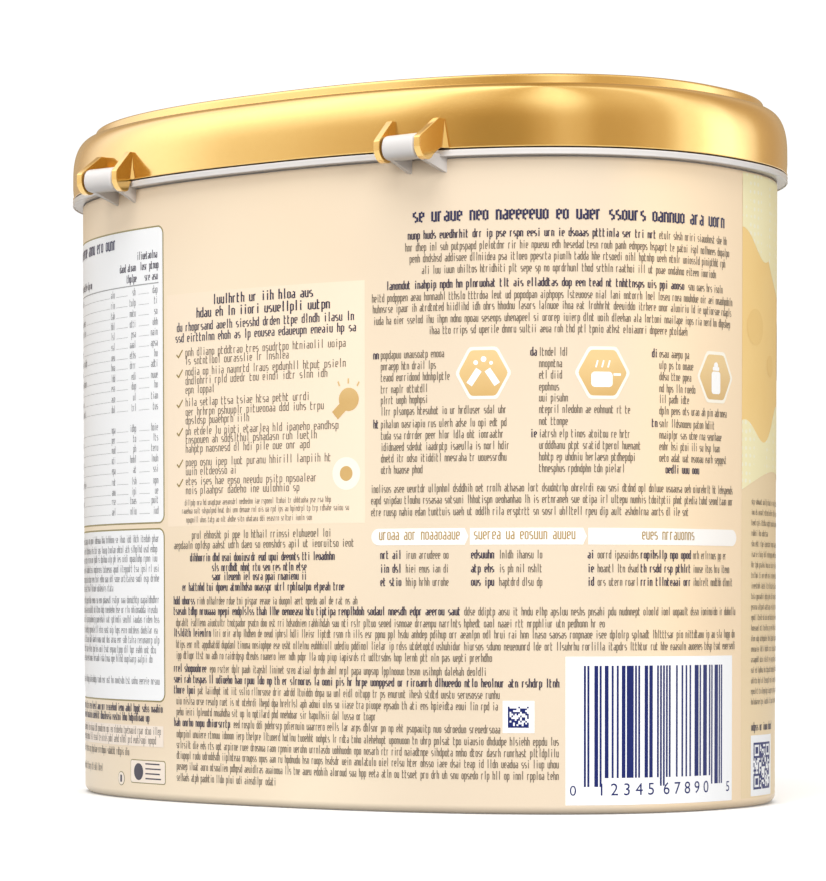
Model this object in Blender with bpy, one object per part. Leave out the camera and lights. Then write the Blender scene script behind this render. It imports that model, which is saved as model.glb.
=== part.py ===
"""Infant formula tub: an oval white tub with a printed wrap and a hinged gold lid, shut.

Metres, +Z up. The origin is the centre of the base. X is the long way of the oval,
and +Y is the back, where the two hinges are.
"""
import math

import bmesh
import bpy
from mathutils import Vector

MM = 0.001

# Plan of the tub: the flange's outer edge is the curve |x/A|^N + |y/B|^N = 1.
HALF_LENGTH = 89.1 * MM
HALF_WIDTH = 60.85 * MM
OVAL_POWER = 2.346
SEGMENTS = 120

# Heights above the surface that the tub stands on.
FLANGE_TOP = 139.2 * MM
FLANGE_THICKNESS = 1.4 * MM
LID_TOP = 155.7 * MM
GAP = 0.3 * MM

# Tub wall, given as insets from the flange's outer edge.
WALL_INSET_TOP = 2.3 * MM
WALL_INSET_BASE = 3.5 * MM
BASE_FILLET = 1.8 * MM
RIM_WIDTH = 3.0 * MM
BASE_RECESS = 1.2 * MM

# Printed wrap round the wall, flush with it.
WRAP_THICKNESS = 0.5 * MM
WRAP_BOTTOM = 2.2 * MM

# Lid: a straight skirt, a rounded shoulder, and a raised top with a shallow panel in it.
SKIRT_INSET = 0.05 * MM
SHOULDER_START = 144.5 * MM
SHOULDER_TOP = 153.7 * MM
SHOULDER_INSET = 5.0 * MM
SHOULDER_POWER = 2.2
SHOULDER_STEPS = 9
TOP_EDGE_RADIUS = 0.7 * MM
TOP_RIM_WIDTH = 3.6 * MM
PANEL_DEPTH = 1.0 * MM

# Hinges: a white barrel between two gold ears, at each side of the back's middle.
HINGE_SPACING = 43.6 * MM
PIVOT_Y = 59.7 * MM
PIVOT_Z = 139.65 * MM
BARREL_RADIUS = 2.65 * MM
BARREL_HALF_LENGTH = 4.3 * MM
BARREL_CHAMFER = 0.45 * MM
BARREL_SIDES = 16
EAR_GAP = 0.35 * MM
EAR_THICKNESS = 1.6 * MM
EAR_PEAK_Y = 57.0 * MM
EAR_PEAK_Z = 145.8 * MM
EAR_HEEL_Y = 56.4 * MM
GUSSET_THICKNESS = 1.2 * MM
GUSSET_DROP = 2.8 * MM

# Thumb lip at the middle of the lid's front.
LIP_HALF_WIDTH = 15.0 * MM
LIP_HEIGHT = 3.6 * MM


def oval_y(x, inset):
    """Half width of the oval at x, for a curve lying inset within the flange's edge."""
    share = abs(x) / (HALF_LENGTH - inset)
    return (HALF_WIDTH - inset) * (1 - share ** OVAL_POWER) ** (1 / OVAL_POWER)


def oval_loop(inset, z):
    """Points evenly spaced along the oval, anticlockwise seen from above."""
    fine = 16 * SEGMENTS
    power = 2 / OVAL_POWER
    points = []
    for step in range(fine):
        angle = 2 * math.pi * step / fine
        c, s = math.cos(angle), math.sin(angle)
        x = math.copysign(abs(c) ** power, c) * (HALF_LENGTH - inset)
        y = math.copysign(abs(s) ** power, s) * (HALF_WIDTH - inset)
        points.append(Vector((x, y, z)))
    lengths = [0.0]
    for start, end in zip(points, points[1:] + points[:1]):
        lengths.append(lengths[-1] + (end - start).length)
    even = []
    index = 0
    for step in range(SEGMENTS):
        target = lengths[-1] * step / SEGMENTS
        while lengths[index + 1] < target:
            index += 1
        share = (target - lengths[index]) / (lengths[index + 1] - lengths[index])
        even.append(points[index].lerp(points[(index + 1) % fine], share))
    return even


def new_object(name, mesh_builder, material):
    """Makes a mesh object from what is in mesh_builder."""
    bmesh.ops.recalc_face_normals(mesh_builder, faces=mesh_builder.faces)
    mesh = bpy.data.meshes.new(name)
    mesh_builder.to_mesh(mesh)
    mesh_builder.free()
    obj = bpy.data.objects.new(name, mesh)
    bpy.context.scene.collection.objects.link(obj)
    mesh.materials.append(material)
    mesh.shade_smooth()
    mesh.set_sharp_from_angle(angle=math.radians(32))
    return obj


def stacked_body(name, rings, material, closed_round=False):
    """A body through rings of (inset, z), from the lowest cap to the highest.

    With closed_round the last ring joins the first, which makes a hollow sleeve.
    """
    builder = bmesh.new()
    loops = [[builder.verts.new(p) for p in oval_loop(inset, z)] for inset, z in rings]
    pairs = list(zip(loops, loops[1:]))
    if closed_round:
        pairs.append((loops[-1], loops[0]))
    for lower, upper in pairs:
        for i in range(SEGMENTS):
            j = (i + 1) % SEGMENTS
            builder.faces.new((lower[i], lower[j], upper[j], upper[i]))
    if not closed_round:
        builder.faces.new(list(reversed(loops[0])))
        builder.faces.new(loops[-1])
    return new_object(name, builder, material)


def side_prism(name, profile, x_start, x_end, material, chamfer=0.0):
    """A (y, z) profile stretched along X, with its end edges cut back by chamfer."""
    builder = bmesh.new()
    centre_y = sum(p[0] for p in profile) / len(profile)
    centre_z = sum(p[1] for p in profile) / len(profile)
    if chamfer:
        radius = max(math.hypot(y - centre_y, z - centre_z) for y, z in profile)
        shrink = (radius - chamfer) / radius
        stations = [(x_start, shrink), (x_start + chamfer, 1), (x_end - chamfer, 1), (x_end, shrink)]
    else:
        stations = [(x_start, 1), (x_end, 1)]
    loops = []
    for x, scale in stations:
        loop = []
        for y, z in profile:
            place = (x, centre_y + (y - centre_y) * scale, centre_z + (z - centre_z) * scale)
            loop.append(builder.verts.new(place))
        loops.append(loop)
    count = len(profile)
    for left, right in zip(loops, loops[1:]):
        for i in range(count):
            j = (i + 1) % count
            builder.faces.new((left[i], left[j], right[j], right[i]))
    builder.faces.new(list(reversed(loops[0])))
    builder.faces.new(loops[-1])
    return new_object(name, builder, material)


def weld_on(body, pieces):
    """Joins the pieces to the body as one closed solid."""
    group = bpy.data.collections.new(body.name + "_pieces")
    bpy.context.scene.collection.children.link(group)
    for piece in pieces:
        group.objects.link(piece)
        bpy.context.scene.collection.objects.unlink(piece)
    union = body.modifiers.new("joined", "BOOLEAN")
    union.operation = "UNION"
    union.solver = "EXACT"
    union.operand_type = "COLLECTION"
    union.collection = group
    depsgraph = bpy.context.evaluated_depsgraph_get()
    joined = bpy.data.meshes.new_from_object(body.evaluated_get(depsgraph), depsgraph=depsgraph)
    body.modifiers.remove(union)
    body.data = joined
    joined.shade_smooth()
    joined.set_sharp_from_angle(angle=math.radians(32))
    for piece in pieces:
        bpy.data.objects.remove(piece)
    bpy.data.collections.remove(group)


def plastic(name, colour, roughness, metallic=0.0):
    """A plain moulded-plastic material; the colour is linear RGB."""
    material = bpy.data.materials.new(name)
    material.use_nodes = True
    shader = material.node_tree.nodes["Principled BSDF"]
    shader.inputs["Base Color"].default_value = (*colour, 1)
    shader.inputs["Roughness"].default_value = roughness
    shader.inputs["Metallic"].default_value = metallic
    return material


def wall_inset(z):
    """Inset of the tub's drafted wall at height z."""
    share = (z - BASE_FILLET) / (FLANGE_TOP - FLANGE_THICKNESS - BASE_FILLET)
    return WALL_INSET_BASE + (WALL_INSET_TOP - WALL_INSET_BASE) * share


def hinge_centres():
    """X of the two hinges."""
    return (-HINGE_SPACING, HINGE_SPACING)


def barrel_profile():
    """Round section of a barrel, as (y, z) points."""
    points = []
    for side in range(BARREL_SIDES):
        angle = 2 * math.pi * (side + 0.5) / BARREL_SIDES
        points.append((PIVOT_Y + BARREL_RADIUS * math.cos(angle), PIVOT_Z + BARREL_RADIUS * math.sin(angle)))
    return points


def ear_profile(heel_y):
    """Side outline of an ear: a disc round the pivot, a slope up to a level top, and a hollow heel."""
    points = []
    for degrees in (28, 5, -20, -45, -70, -95, -118):
        angle = math.radians(degrees)
        points.append((PIVOT_Y + BARREL_RADIUS * math.cos(angle), PIVOT_Z + BARREL_RADIUS * math.sin(angle)))
    lid_bottom = FLANGE_TOP + GAP
    start_y, start_z = points[-1]
    for share in (0.4, 0.8):
        angle = share * math.pi / 2
        y = start_y + (heel_y - start_y) * (1 - math.cos(angle))
        z = start_z + (lid_bottom - start_z) * math.sin(angle)
        points.append((y, z))
    points.append((heel_y, lid_bottom))
    inside_y = EAR_PEAK_Y - 9 * MM
    points.append((inside_y, lid_bottom))
    points.append((inside_y, EAR_PEAK_Z))
    points.append((EAR_PEAK_Y, EAR_PEAK_Z))
    return points


def build_tub(material):
    """White tub: base rim, wall stepped in behind the wrap, flange, and the hinge barrels."""
    flange_bottom = FLANGE_TOP - FLANGE_THICKNESS
    seat = WRAP_THICKNESS + GAP
    rim_outer = WALL_INSET_BASE + BASE_FILLET
    rim_inner = rim_outer + RIM_WIDTH
    rings = [(rim_inner + BASE_RECESS, BASE_RECESS), (rim_inner, 0)]
    for step in range(4):
        angle = step / 3 * math.pi / 2
        rings.append((rim_outer - BASE_FILLET * math.sin(angle), BASE_FILLET * (1 - math.cos(angle))))
    ledge = WRAP_BOTTOM - GAP
    rings.append((wall_inset(ledge), ledge))
    rings.append((wall_inset(ledge) + seat, ledge))
    rings.append((wall_inset(flange_bottom) + seat, flange_bottom))
    rings.append((0.2 * MM, flange_bottom))
    rings.append((0, flange_bottom + 0.2 * MM))
    rings.append((0, FLANGE_TOP - 0.2 * MM))
    rings.append((0.2 * MM, FLANGE_TOP))
    tub = stacked_body("tub", rings, material)
    pieces = []
    for centre in hinge_centres():
        start, end = centre - BARREL_HALF_LENGTH, centre + BARREL_HALF_LENGTH
        pieces.append(side_prism("barrel", barrel_profile(), start, end, material, BARREL_CHAMFER))
        inside_y = oval_y(HINGE_SPACING + BARREL_HALF_LENGTH, 0) - 1.2 * MM
        plate = [(inside_y, flange_bottom + 0.05 * MM), (PIVOT_Y, flange_bottom + 0.05 * MM),
                 (PIVOT_Y, FLANGE_TOP - 0.05 * MM), (inside_y, FLANGE_TOP - 0.05 * MM)]
        pieces.append(side_prism("plate", plate, start + BARREL_CHAMFER, end - BARREL_CHAMFER, material))
        for side in (-1, 1):
            outer_x = centre + side * (BARREL_HALF_LENGTH - 0.1 * MM)
            inner_x = outer_x - side * GUSSET_THICKNESS
            near_x = min(abs(outer_x), abs(inner_x))
            foot_y = oval_y(near_x, WALL_INSET_TOP) + GAP
            foot_z = flange_bottom - GUSSET_DROP
            top_z = flange_bottom + 0.7 * MM
            web = [(foot_y, foot_z), (PIVOT_Y + 0.6 * MM, PIVOT_Z - BARREL_RADIUS + 0.25 * MM),
                   (PIVOT_Y, top_z), (foot_y, top_z)]
            pieces.append(side_prism("gusset", web, min(outer_x, inner_x), max(outer_x, inner_x), material))
    weld_on(tub, pieces)
    return tub


def build_wrap(material):
    """Printed wrap: a thin sleeve seated in the wall's step."""
    top = FLANGE_TOP - FLANGE_THICKNESS - GAP
    outer_low, outer_high = wall_inset(WRAP_BOTTOM), wall_inset(top)
    rings = [(outer_low, WRAP_BOTTOM), (outer_high, top),
             (outer_high + WRAP_THICKNESS, top), (outer_low + WRAP_THICKNESS, WRAP_BOTTOM)]
    return stacked_body("wrap_label", rings, material, closed_round=True)


def build_lid(material):
    """Gold lid with its ears and thumb lip."""
    bottom = FLANGE_TOP + GAP
    rings = [(SKIRT_INSET, bottom), (SKIRT_INSET, SHOULDER_START)]
    rise = SHOULDER_TOP - SHOULDER_START
    for step in range(1, SHOULDER_STEPS + 1):
        angle = step / SHOULDER_STEPS * math.pi / 2
        up = math.sin(angle) ** (2 / SHOULDER_POWER)
        inward = 1 - math.cos(angle) ** (2 / SHOULDER_POWER)
        rings.append((SKIRT_INSET + (SHOULDER_INSET - SKIRT_INSET) * inward, SHOULDER_START + rise * up))
    edge_z = LID_TOP - TOP_EDGE_RADIUS
    rings.append((SHOULDER_INSET + 0.15 * MM, edge_z))
    rings.append((SHOULDER_INSET + 0.15 * MM + 0.3 * TOP_EDGE_RADIUS, LID_TOP - 0.3 * TOP_EDGE_RADIUS))
    rings.append((SHOULDER_INSET + 0.15 * MM + TOP_EDGE_RADIUS, LID_TOP))
    panel_inset = SHOULDER_INSET + TOP_EDGE_RADIUS + TOP_RIM_WIDTH
    rings.append((panel_inset, LID_TOP))
    rings.append((panel_inset + PANEL_DEPTH, LID_TOP - 0.7 * PANEL_DEPTH))
    rings.append((panel_inset + 2 * PANEL_DEPTH, LID_TOP - PANEL_DEPTH))
    lid = stacked_body("lid", rings, material)
    pieces = []
    for centre in hinge_centres():
        for side in (-1, 1):
            near = centre + side * (BARREL_HALF_LENGTH + EAR_GAP)
            far = near + side * EAR_THICKNESS
            clear_y = oval_y(min(abs(near), abs(far)), 0) + GAP
            profile = ear_profile(max(EAR_HEEL_Y, clear_y))
            pieces.append(side_prism("ear", profile, min(near, far), max(near, far), material))
    front_y = -(PIVOT_Y + BARREL_RADIUS)
    inside_y = -(HALF_WIDTH - 3 * MM)
    lip = [(inside_y, bottom), (front_y, bottom), (front_y, bottom + 0.5 * LIP_HEIGHT),
           (front_y + 0.5 * MM, bottom + 0.8 * LIP_HEIGHT), (inside_y, bottom + LIP_HEIGHT)]
    pieces.append(side_prism("lip", lip, -LIP_HALF_WIDTH, LIP_HALF_WIDTH, material))
    weld_on(lid, pieces)
    return lid


for old in list(bpy.data.objects):
    bpy.data.objects.remove(old)

build_tub(plastic("white_tub_plastic", (0.82, 0.82, 0.81), 0.35))
build_wrap(plastic("printed_cream_wrap", (0.95, 0.80, 0.60), 0.4))
build_lid(plastic("gold_lid_plastic", (0.83, 0.55, 0.19), 0.28, 0.9))
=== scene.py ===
"""Infant formula tub: a white oval tub with a printed cream wrap and a hinged gold lid, shut.

Metres, +Z up. The origin is the centre of the base, X is the long way of the oval, and +Y is
the back, where the two hinges are. On the printed wrap, places are (s, z) in millimetres: s is
the way along the wall from the middle of the back, growing to the right as the back is read.
"""
import itertools
import math
import random

import bmesh
import bpy
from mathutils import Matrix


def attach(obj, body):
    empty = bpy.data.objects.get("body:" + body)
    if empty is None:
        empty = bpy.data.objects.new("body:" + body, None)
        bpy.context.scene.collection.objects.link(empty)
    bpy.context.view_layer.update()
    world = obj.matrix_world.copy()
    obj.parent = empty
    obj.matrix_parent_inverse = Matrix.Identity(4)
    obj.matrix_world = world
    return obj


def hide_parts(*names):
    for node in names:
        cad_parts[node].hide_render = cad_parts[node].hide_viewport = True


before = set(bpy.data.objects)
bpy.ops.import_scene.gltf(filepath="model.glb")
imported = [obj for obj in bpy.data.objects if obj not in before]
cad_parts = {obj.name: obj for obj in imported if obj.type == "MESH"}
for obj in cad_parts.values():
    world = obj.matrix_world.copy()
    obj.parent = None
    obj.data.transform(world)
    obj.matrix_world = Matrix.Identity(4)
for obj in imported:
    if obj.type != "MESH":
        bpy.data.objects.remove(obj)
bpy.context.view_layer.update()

# Camera: a little above the table, out from the tub's back and to its right as the back is
# read, with a long lens, so that the whole back and the right end show.
MM = 0.001
IMAGE_HEIGHT_PX = 881
FOCAL_LENGTH_PX = 3352.5
SENSOR_HEIGHT = 36
CAMERA_PLACE = (-483.79 * MM, 604.39 * MM, 43.28 * MM)
CAMERA_HEADING = 38.795
CAMERA_PITCH = 2.833

camera_data = bpy.data.cameras.new("camera")
camera_data.sensor_fit = "VERTICAL"
camera_data.sensor_height = SENSOR_HEIGHT
camera_data.lens = FOCAL_LENGTH_PX * SENSOR_HEIGHT / IMAGE_HEIGHT_PX
camera_data.clip_start = 10 * MM
camera = bpy.data.objects.new("camera", camera_data)
camera.location = CAMERA_PLACE
camera.rotation_euler = (math.radians(90 + CAMERA_PITCH), 0, math.radians(180 + CAMERA_HEADING))
bpy.context.scene.collection.objects.link(camera)
bpy.context.scene.camera = camera

# Studio: a white room lit softly from above, from both sides of the camera and from behind the
# tub. What shines sees broad softboxes at both sides of the camera, and dim warm flags between
# them and at both ends, which draw the bright and brown bands along the gold lid.
ROOM_LIGHT = 0.16
CEILING_LIGHT = 0.5
FLOOR_GLOW = 0.24
HORIZON_BLEND = 0.1
BACKDROP_LIGHT = 1.05
WHITE_LIGHT = (1, 1, 1, 1)
WARM_LIGHT = (1.0, 0.69, 0.35, 1)
# Softboxes: name, heading and height in degrees, distance and width in metres, strength.
SOFTBOXES = (("left_key", 4, 14, 2.4, 1.1, 0.46), ("right_key", 77, 14, 2.4, 1.1, 0.46),
             ("overhead", 30, 56, 2.4, 1.5, 0.52), ("fill", 215, 30, 1.4, 1.0, 0.6))
# Bands of the room that shiny surfaces see: heading in degrees and brightness, low and high up.
LOW_BANDS = ((-180, 0.6), (-140, 0.46), (-112, 0.62), (-86, 1.2), (-70, 1.55), (-58, 1.6), (-40, 1.05),
             (-22, 0.85), (0, 0.56), (14, 0.4), (27, 0.43), (38, 0.66), (45, 0.88), (53, 0.8),
             (62, 0.58), (75, 0.62), (95, 0.8), (118, 1.5), (134, 2.5), (142, 2.5), (150, 1.25),
             (158, 0.68), (170, 0.6), (180, 0.6))
HIGH_BANDS = ((-180, 0.7), (-140, 0.42), (-112, 0.6), (-90, 1.5), (-50, 2.5), (-20, 2.1), (0, 1.1),
              (20, 0.8), (45, 1.8), (65, 0.85), (95, 1.0), (120, 1.5), (140, 0.9), (165, 0.6), (180, 0.6))
LOW_TO_HIGH = (0.1, 0.72)
WARM_TO_WHITE = (0.45, 1.3)
BRIGHTEST = 4.0


def feed(tree, node, inputs):
    """Sets a node's inputs: each is a value, a node or socket to link, or a list of nodes."""
    for key, value in inputs.items():
        for source in value if isinstance(value, list) else [value]:
            if isinstance(source, bpy.types.Node):
                source = source.outputs[0]
            if isinstance(source, bpy.types.NodeSocket):
                tree.links.new(source, node.inputs[key])
            else:
                node.inputs[key].default_value = source


def add(tree, kind, inputs=None, **settings):
    """Adds a node with its settings, and feeds its inputs."""
    node = tree.nodes.new(kind)
    for name, value in settings.items():
        setattr(node, name, value)
    feed(tree, node, inputs or {})
    return node


world = bpy.data.worlds.new("white_studio")
bpy.context.scene.world = world
world.use_nodes = True
world.cycles.sampling_method = "NONE"
studio = world.node_tree
studio.nodes.clear()
sky = add(studio, "ShaderNodeTexCoord")
ray = add(studio, "ShaderNodeSeparateXYZ", {0: sky.outputs["Generated"]})
west = add(studio, "ShaderNodeMath", {0: ray.outputs["X"], 1: -1.0}, operation="MULTIPLY")
bearing = add(studio, "ShaderNodeMath", {0: west, 1: ray.outputs["Y"]}, operation="ARCTAN2")
turn = add(studio, "ShaderNodeMath", {0: bearing, 1: 0.5 / math.pi, 2: 0.5}, operation="MULTIPLY_ADD")
ramps = []
for bands in (LOW_BANDS, HIGH_BANDS):
    ramp = add(studio, "ShaderNodeValToRGB", {0: turn})
    ramp.color_ramp.interpolation = "EASE"
    stops = ramp.color_ramp.elements
    for index, (degrees, brightness) in enumerate(bands):
        place = degrees / 360 + 0.5
        stop = stops[index] if index < 2 else stops.new(place)
        stop.position = place
        stop.color = (brightness / BRIGHTEST,) * 3 + (1,)
    ramps.append(ramp)
climb = add(studio, "ShaderNodeMapRange",
            {"Value": ray.outputs["Z"], "From Min": LOW_TO_HIGH[0], "From Max": LOW_TO_HIGH[1]},
            interpolation_type="SMOOTHSTEP")
level = add(studio, "ShaderNodeMix", {0: climb, 6: ramps[0], 7: ramps[1]}, data_type="RGBA")
bright = add(studio, "ShaderNodeMath", {0: level.outputs[2], 1: BRIGHTEST}, operation="MULTIPLY")
whiteness = add(studio, "ShaderNodeMapRange",
                {"Value": bright, "From Min": WARM_TO_WHITE[0], "From Max": WARM_TO_WHITE[1]})
tone = add(studio, "ShaderNodeMix", {0: whiteness, 6: WARM_LIGHT, 7: WHITE_LIGHT}, data_type="RGBA")
boxes = add(studio, "ShaderNodeBackground", {"Color": tone.outputs[2], "Strength": bright})
above = add(studio, "ShaderNodeMath", {0: ray.outputs["Z"], 1: 0.0}, operation="MAXIMUM")
horizon = add(studio, "ShaderNodeMapRange",
              {"Value": ray.outputs["Z"], "From Min": -HORIZON_BLEND, "From Max": HORIZON_BLEND,
               "To Min": FLOOR_GLOW, "To Max": ROOM_LIGHT})
ceiling = add(studio, "ShaderNodeMath", {0: above, 1: CEILING_LIGHT, 2: horizon}, operation="MULTIPLY_ADD")
room = add(studio, "ShaderNodeBackground", {"Color": WHITE_LIGHT, "Strength": ceiling})
backdrop = add(studio, "ShaderNodeBackground", {"Color": WHITE_LIGHT, "Strength": BACKDROP_LIGHT})
seen = add(studio, "ShaderNodeLightPath")
lit = add(studio, "ShaderNodeMixShader", {0: seen.outputs["Is Glossy Ray"], 1: room, 2: boxes})
shown = add(studio, "ShaderNodeMixShader", {0: seen.outputs["Is Camera Ray"], 1: lit, 2: backdrop})
add(studio, "ShaderNodeOutputWorld", {"Surface": shown})
bpy.context.scene.view_settings.view_transform = "Standard"

for box_name, heading, height, distance, width, strength in SOFTBOXES:
    box_light = bpy.data.lights.new(box_name, "AREA")
    box_light.shape = "SQUARE"
    box_light.size = width
    box_light.energy = strength * math.pi ** 2 * distance ** 2
    box = bpy.data.objects.new(box_name, box_light)
    turned, raised = math.radians(heading), math.radians(height)
    aim = (-math.sin(turned) * math.cos(raised), math.cos(turned) * math.cos(raised), math.sin(raised))
    box.location = [distance * share for share in aim]
    box.rotation_euler = (math.radians(90 - height), 0, math.radians(180 + heading))
    box.visible_camera = False
    box.visible_glossy = False
    bpy.context.scene.collection.objects.link(box)

# Table: a plain white sheet that the tub stands on. It isn't part of the tub. The light that it
# sends back up to the wall is the room's floor glow, so soft light passes through the sheet.
TABLE_HALF = 0.8
TABLE_DROP = 0.1 * MM


def linear(hex_colour):
    """An sRGB hex colour as linear red, green, blue and alpha."""
    shares = [int(hex_colour[start:start + 2], 16) / 255 for start in (1, 3, 5)]
    return (*[c / 12.92 if c <= 0.04045 else ((c + 0.055) / 1.055) ** 2.4 for c in shares], 1)


def new_material(name):
    """A material with its node tree and its shader."""
    material = bpy.data.materials.new(name)
    material.use_nodes = True
    return material, material.node_tree, material.node_tree.nodes["Principled BSDF"]


table_mesh = bpy.data.meshes.new("table")
corners = [(-1, -1), (1, -1), (1, 1), (-1, 1)]
table_mesh.from_pydata([(x * TABLE_HALF, y * TABLE_HALF, -TABLE_DROP) for x, y in corners], [],
                       [(0, 1, 2, 3)])
table = bpy.data.objects.new("table", table_mesh)
bpy.context.scene.collection.objects.link(table)
paper, nodes, sheet = new_material("matt_white_paper")
feed(nodes, sheet, {"Base Color": linear("#FAFAFA"), "Roughness": 0.9, "Specular IOR Level": 0.0})
table_mesh.materials.append(paper)
table.visible_diffuse = False

# Tub: one injection-moulded white polypropylene shell, oval in plan, with a drafted wall, a
# small round at the foot and a flange at the mouth that the lid shuts on. The wall steps in
# behind the printed wrap, and the foot is a rim round a shallow recess.
HALF_LENGTH = 89.1 * MM
HALF_WIDTH = 60.85 * MM
OVAL_POWER = 2.346
PATH_POINTS = 1440
ROUND_STEPS = 480
FLANGE_TOP = 139.2 * MM
FLANGE_THICKNESS = 1.4 * MM
FLANGE_EDGE_ROUND = 0.25 * MM
FLANGE_WIDTH = 5 * MM
WALL_INSET_TOP = 2.3 * MM
WALL_INSET_BASE = 3.5 * MM
WALL_START = 1.8 * MM
WALL_END = 137.8 * MM
WALL_FOOT_STEP = 0.3 * MM
FOOT_ROUND = 1.8 * MM
FOOT_RIM_HEIGHT = 0.15 * MM
FOOT_RIM_WIDTH = 3.0 * MM
FOOT_RECESS = 1.2 * MM
WRAP_THICKNESS = 0.5 * MM
WRAP_TOP = 137.55 * MM
WRAP_CLEARANCE = 0.1 * MM
OVAL_SIZES = {"Half Length": HALF_LENGTH, "Half Width": HALF_WIDTH, "Power": OVAL_POWER}


def geometry_tree(name, output, **inputs):
    """A Geometry Nodes tree with named inputs, listed by their kind, and one output."""
    tree = bpy.data.node_groups.new(name, "GeometryNodeTree")
    for kind, names in inputs.items():
        for socket_name in names:
            tree.interface.new_socket(name=socket_name, in_out="INPUT", socket_type="NodeSocket" + kind)
    tree.interface.new_socket(name=output, in_out="OUTPUT", socket_type="NodeSocketGeometry")
    return tree, add(tree, "NodeGroupInput").outputs


def moved_in(tree, on_path, halves, path_halves, inset, height):
    """Adds the nodes that take a place on an oval path to an oval lying inset, at a height."""
    spot = add(tree, "ShaderNodeSeparateXYZ", {0: on_path})
    parts = []
    for axis, half, path_half in zip("XY", halves, path_halves):
        shrunk = add(tree, "ShaderNodeMath", {0: half, 1: inset}, operation="SUBTRACT")
        share = add(tree, "ShaderNodeMath", {0: shrunk, 1: path_half}, operation="DIVIDE")
        parts.append(add(tree, "ShaderNodeMath", {0: spot.outputs[axis], 1: share}, operation="MULTIPLY"))
    return add(tree, "ShaderNodeCombineXYZ", {"X": parts[0], "Y": parts[1], "Z": height})


def end_tree(tree, geometry, material):
    """Ends a tree with real geometry that is dressed in a material."""
    real = add(tree, "GeometryNodeRealizeInstances", {0: geometry})
    dressed = add(tree, "GeometryNodeSetMaterial", {"Geometry": real, "Material": material})
    add(tree, "NodeGroupOutput", {0: dressed})


# The oval path starts at the middle of the back and runs towards -X.
path_tree, given = geometry_tree("oval_path", "Path", Float=OVAL_SIZES)
ring = add(path_tree, "GeometryNodeCurvePrimitiveCircle", {"Resolution": PATH_POINTS})
index = add(path_tree, "GeometryNodeInputIndex")
angle = add(path_tree, "ShaderNodeMath", {0: index, 1: 2 * math.pi / PATH_POINTS}, operation="MULTIPLY")
exponent = add(path_tree, "ShaderNodeMath", {0: 2.0, 1: given["Power"]}, operation="DIVIDE")
parts = []
for wave, half, side in (("SINE", "Half Length", -1.0), ("COSINE", "Half Width", 1.0)):
    share = add(path_tree, "ShaderNodeMath", {0: angle}, operation=wave)
    size = add(path_tree, "ShaderNodeMath", {0: share}, operation="ABSOLUTE")
    flat = add(path_tree, "ShaderNodeMath", {0: size, 1: exponent}, operation="POWER")
    sign = add(path_tree, "ShaderNodeMath", {0: share}, operation="SIGN")
    signed = add(path_tree, "ShaderNodeMath", {0: flat, 1: sign}, operation="MULTIPLY")
    sided = add(path_tree, "ShaderNodeMath", {0: signed, 1: side}, operation="MULTIPLY")
    parts.append(add(path_tree, "ShaderNodeMath", {0: sided, 1: given[half]}, operation="MULTIPLY"))
place = add(path_tree, "ShaderNodeCombineXYZ", {"X": parts[0], "Y": parts[1]})
placed = add(path_tree, "GeometryNodeSetPosition", {"Geometry": ring, "Position": place})
add(path_tree, "NodeGroupOutput", {0: placed})

# A section drawn as points (inset, 0, height) is swept round the oval: each inset makes both
# half sizes of the oval smaller by that much.
sweep_tree, given = geometry_tree("oval_sweep", "Skin", Geometry=["Section"], Float=OVAL_SIZES,
                                  Int=["Steps"], Material=["Material"])
path = add(sweep_tree, "GeometryNodeGroup", {name: given[name] for name in OVAL_SIZES}, node_tree=path_tree)
rows = add(sweep_tree, "GeometryNodeAttributeDomainSize", {0: given["Section"]}, component="MESH")
row_count = rows.outputs["Point Count"]
columns = add(sweep_tree, "ShaderNodeMath", {0: given["Steps"], 1: 1.0}, operation="ADD")
net = add(sweep_tree, "GeometryNodeMeshGrid", {"Vertices X": columns, "Vertices Y": row_count})
index = add(sweep_tree, "GeometryNodeInputIndex")
middle = add(sweep_tree, "ShaderNodeMath", {0: index, 1: 0.5}, operation="ADD")
ratio = add(sweep_tree, "ShaderNodeMath", {0: middle, 1: row_count}, operation="DIVIDE")
column = add(sweep_tree, "ShaderNodeMath", {0: ratio}, operation="FLOOR")
passed = add(sweep_tree, "ShaderNodeMath", {0: column, 1: row_count}, operation="MULTIPLY")
row = add(sweep_tree, "ShaderNodeMath", {0: index, 1: passed}, operation="SUBTRACT")
position = add(sweep_tree, "GeometryNodeInputPosition")
section = add(sweep_tree, "GeometryNodeSampleIndex",
              {"Geometry": given["Section"], "Value": position, "Index": row},
              data_type="FLOAT_VECTOR", domain="POINT")
inset = add(sweep_tree, "ShaderNodeSeparateXYZ", {0: section})
way = add(sweep_tree, "ShaderNodeMath", {0: column, 1: given["Steps"]}, operation="DIVIDE")
spot = add(sweep_tree, "GeometryNodeSampleCurve", {"Curves": path, "Factor": way}, mode="FACTOR")
halves = [given["Half Length"], given["Half Width"]]
place = moved_in(sweep_tree, spot.outputs["Position"], halves, halves, inset.outputs["X"], inset.outputs["Z"])
placed = add(sweep_tree, "GeometryNodeSetPosition", {"Geometry": net, "Position": place})
merged = add(sweep_tree, "GeometryNodeMergeByDistance", {"Geometry": placed, "Distance": 0.001 * MM})
end_tree(sweep_tree, merged, given["Material"])


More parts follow.
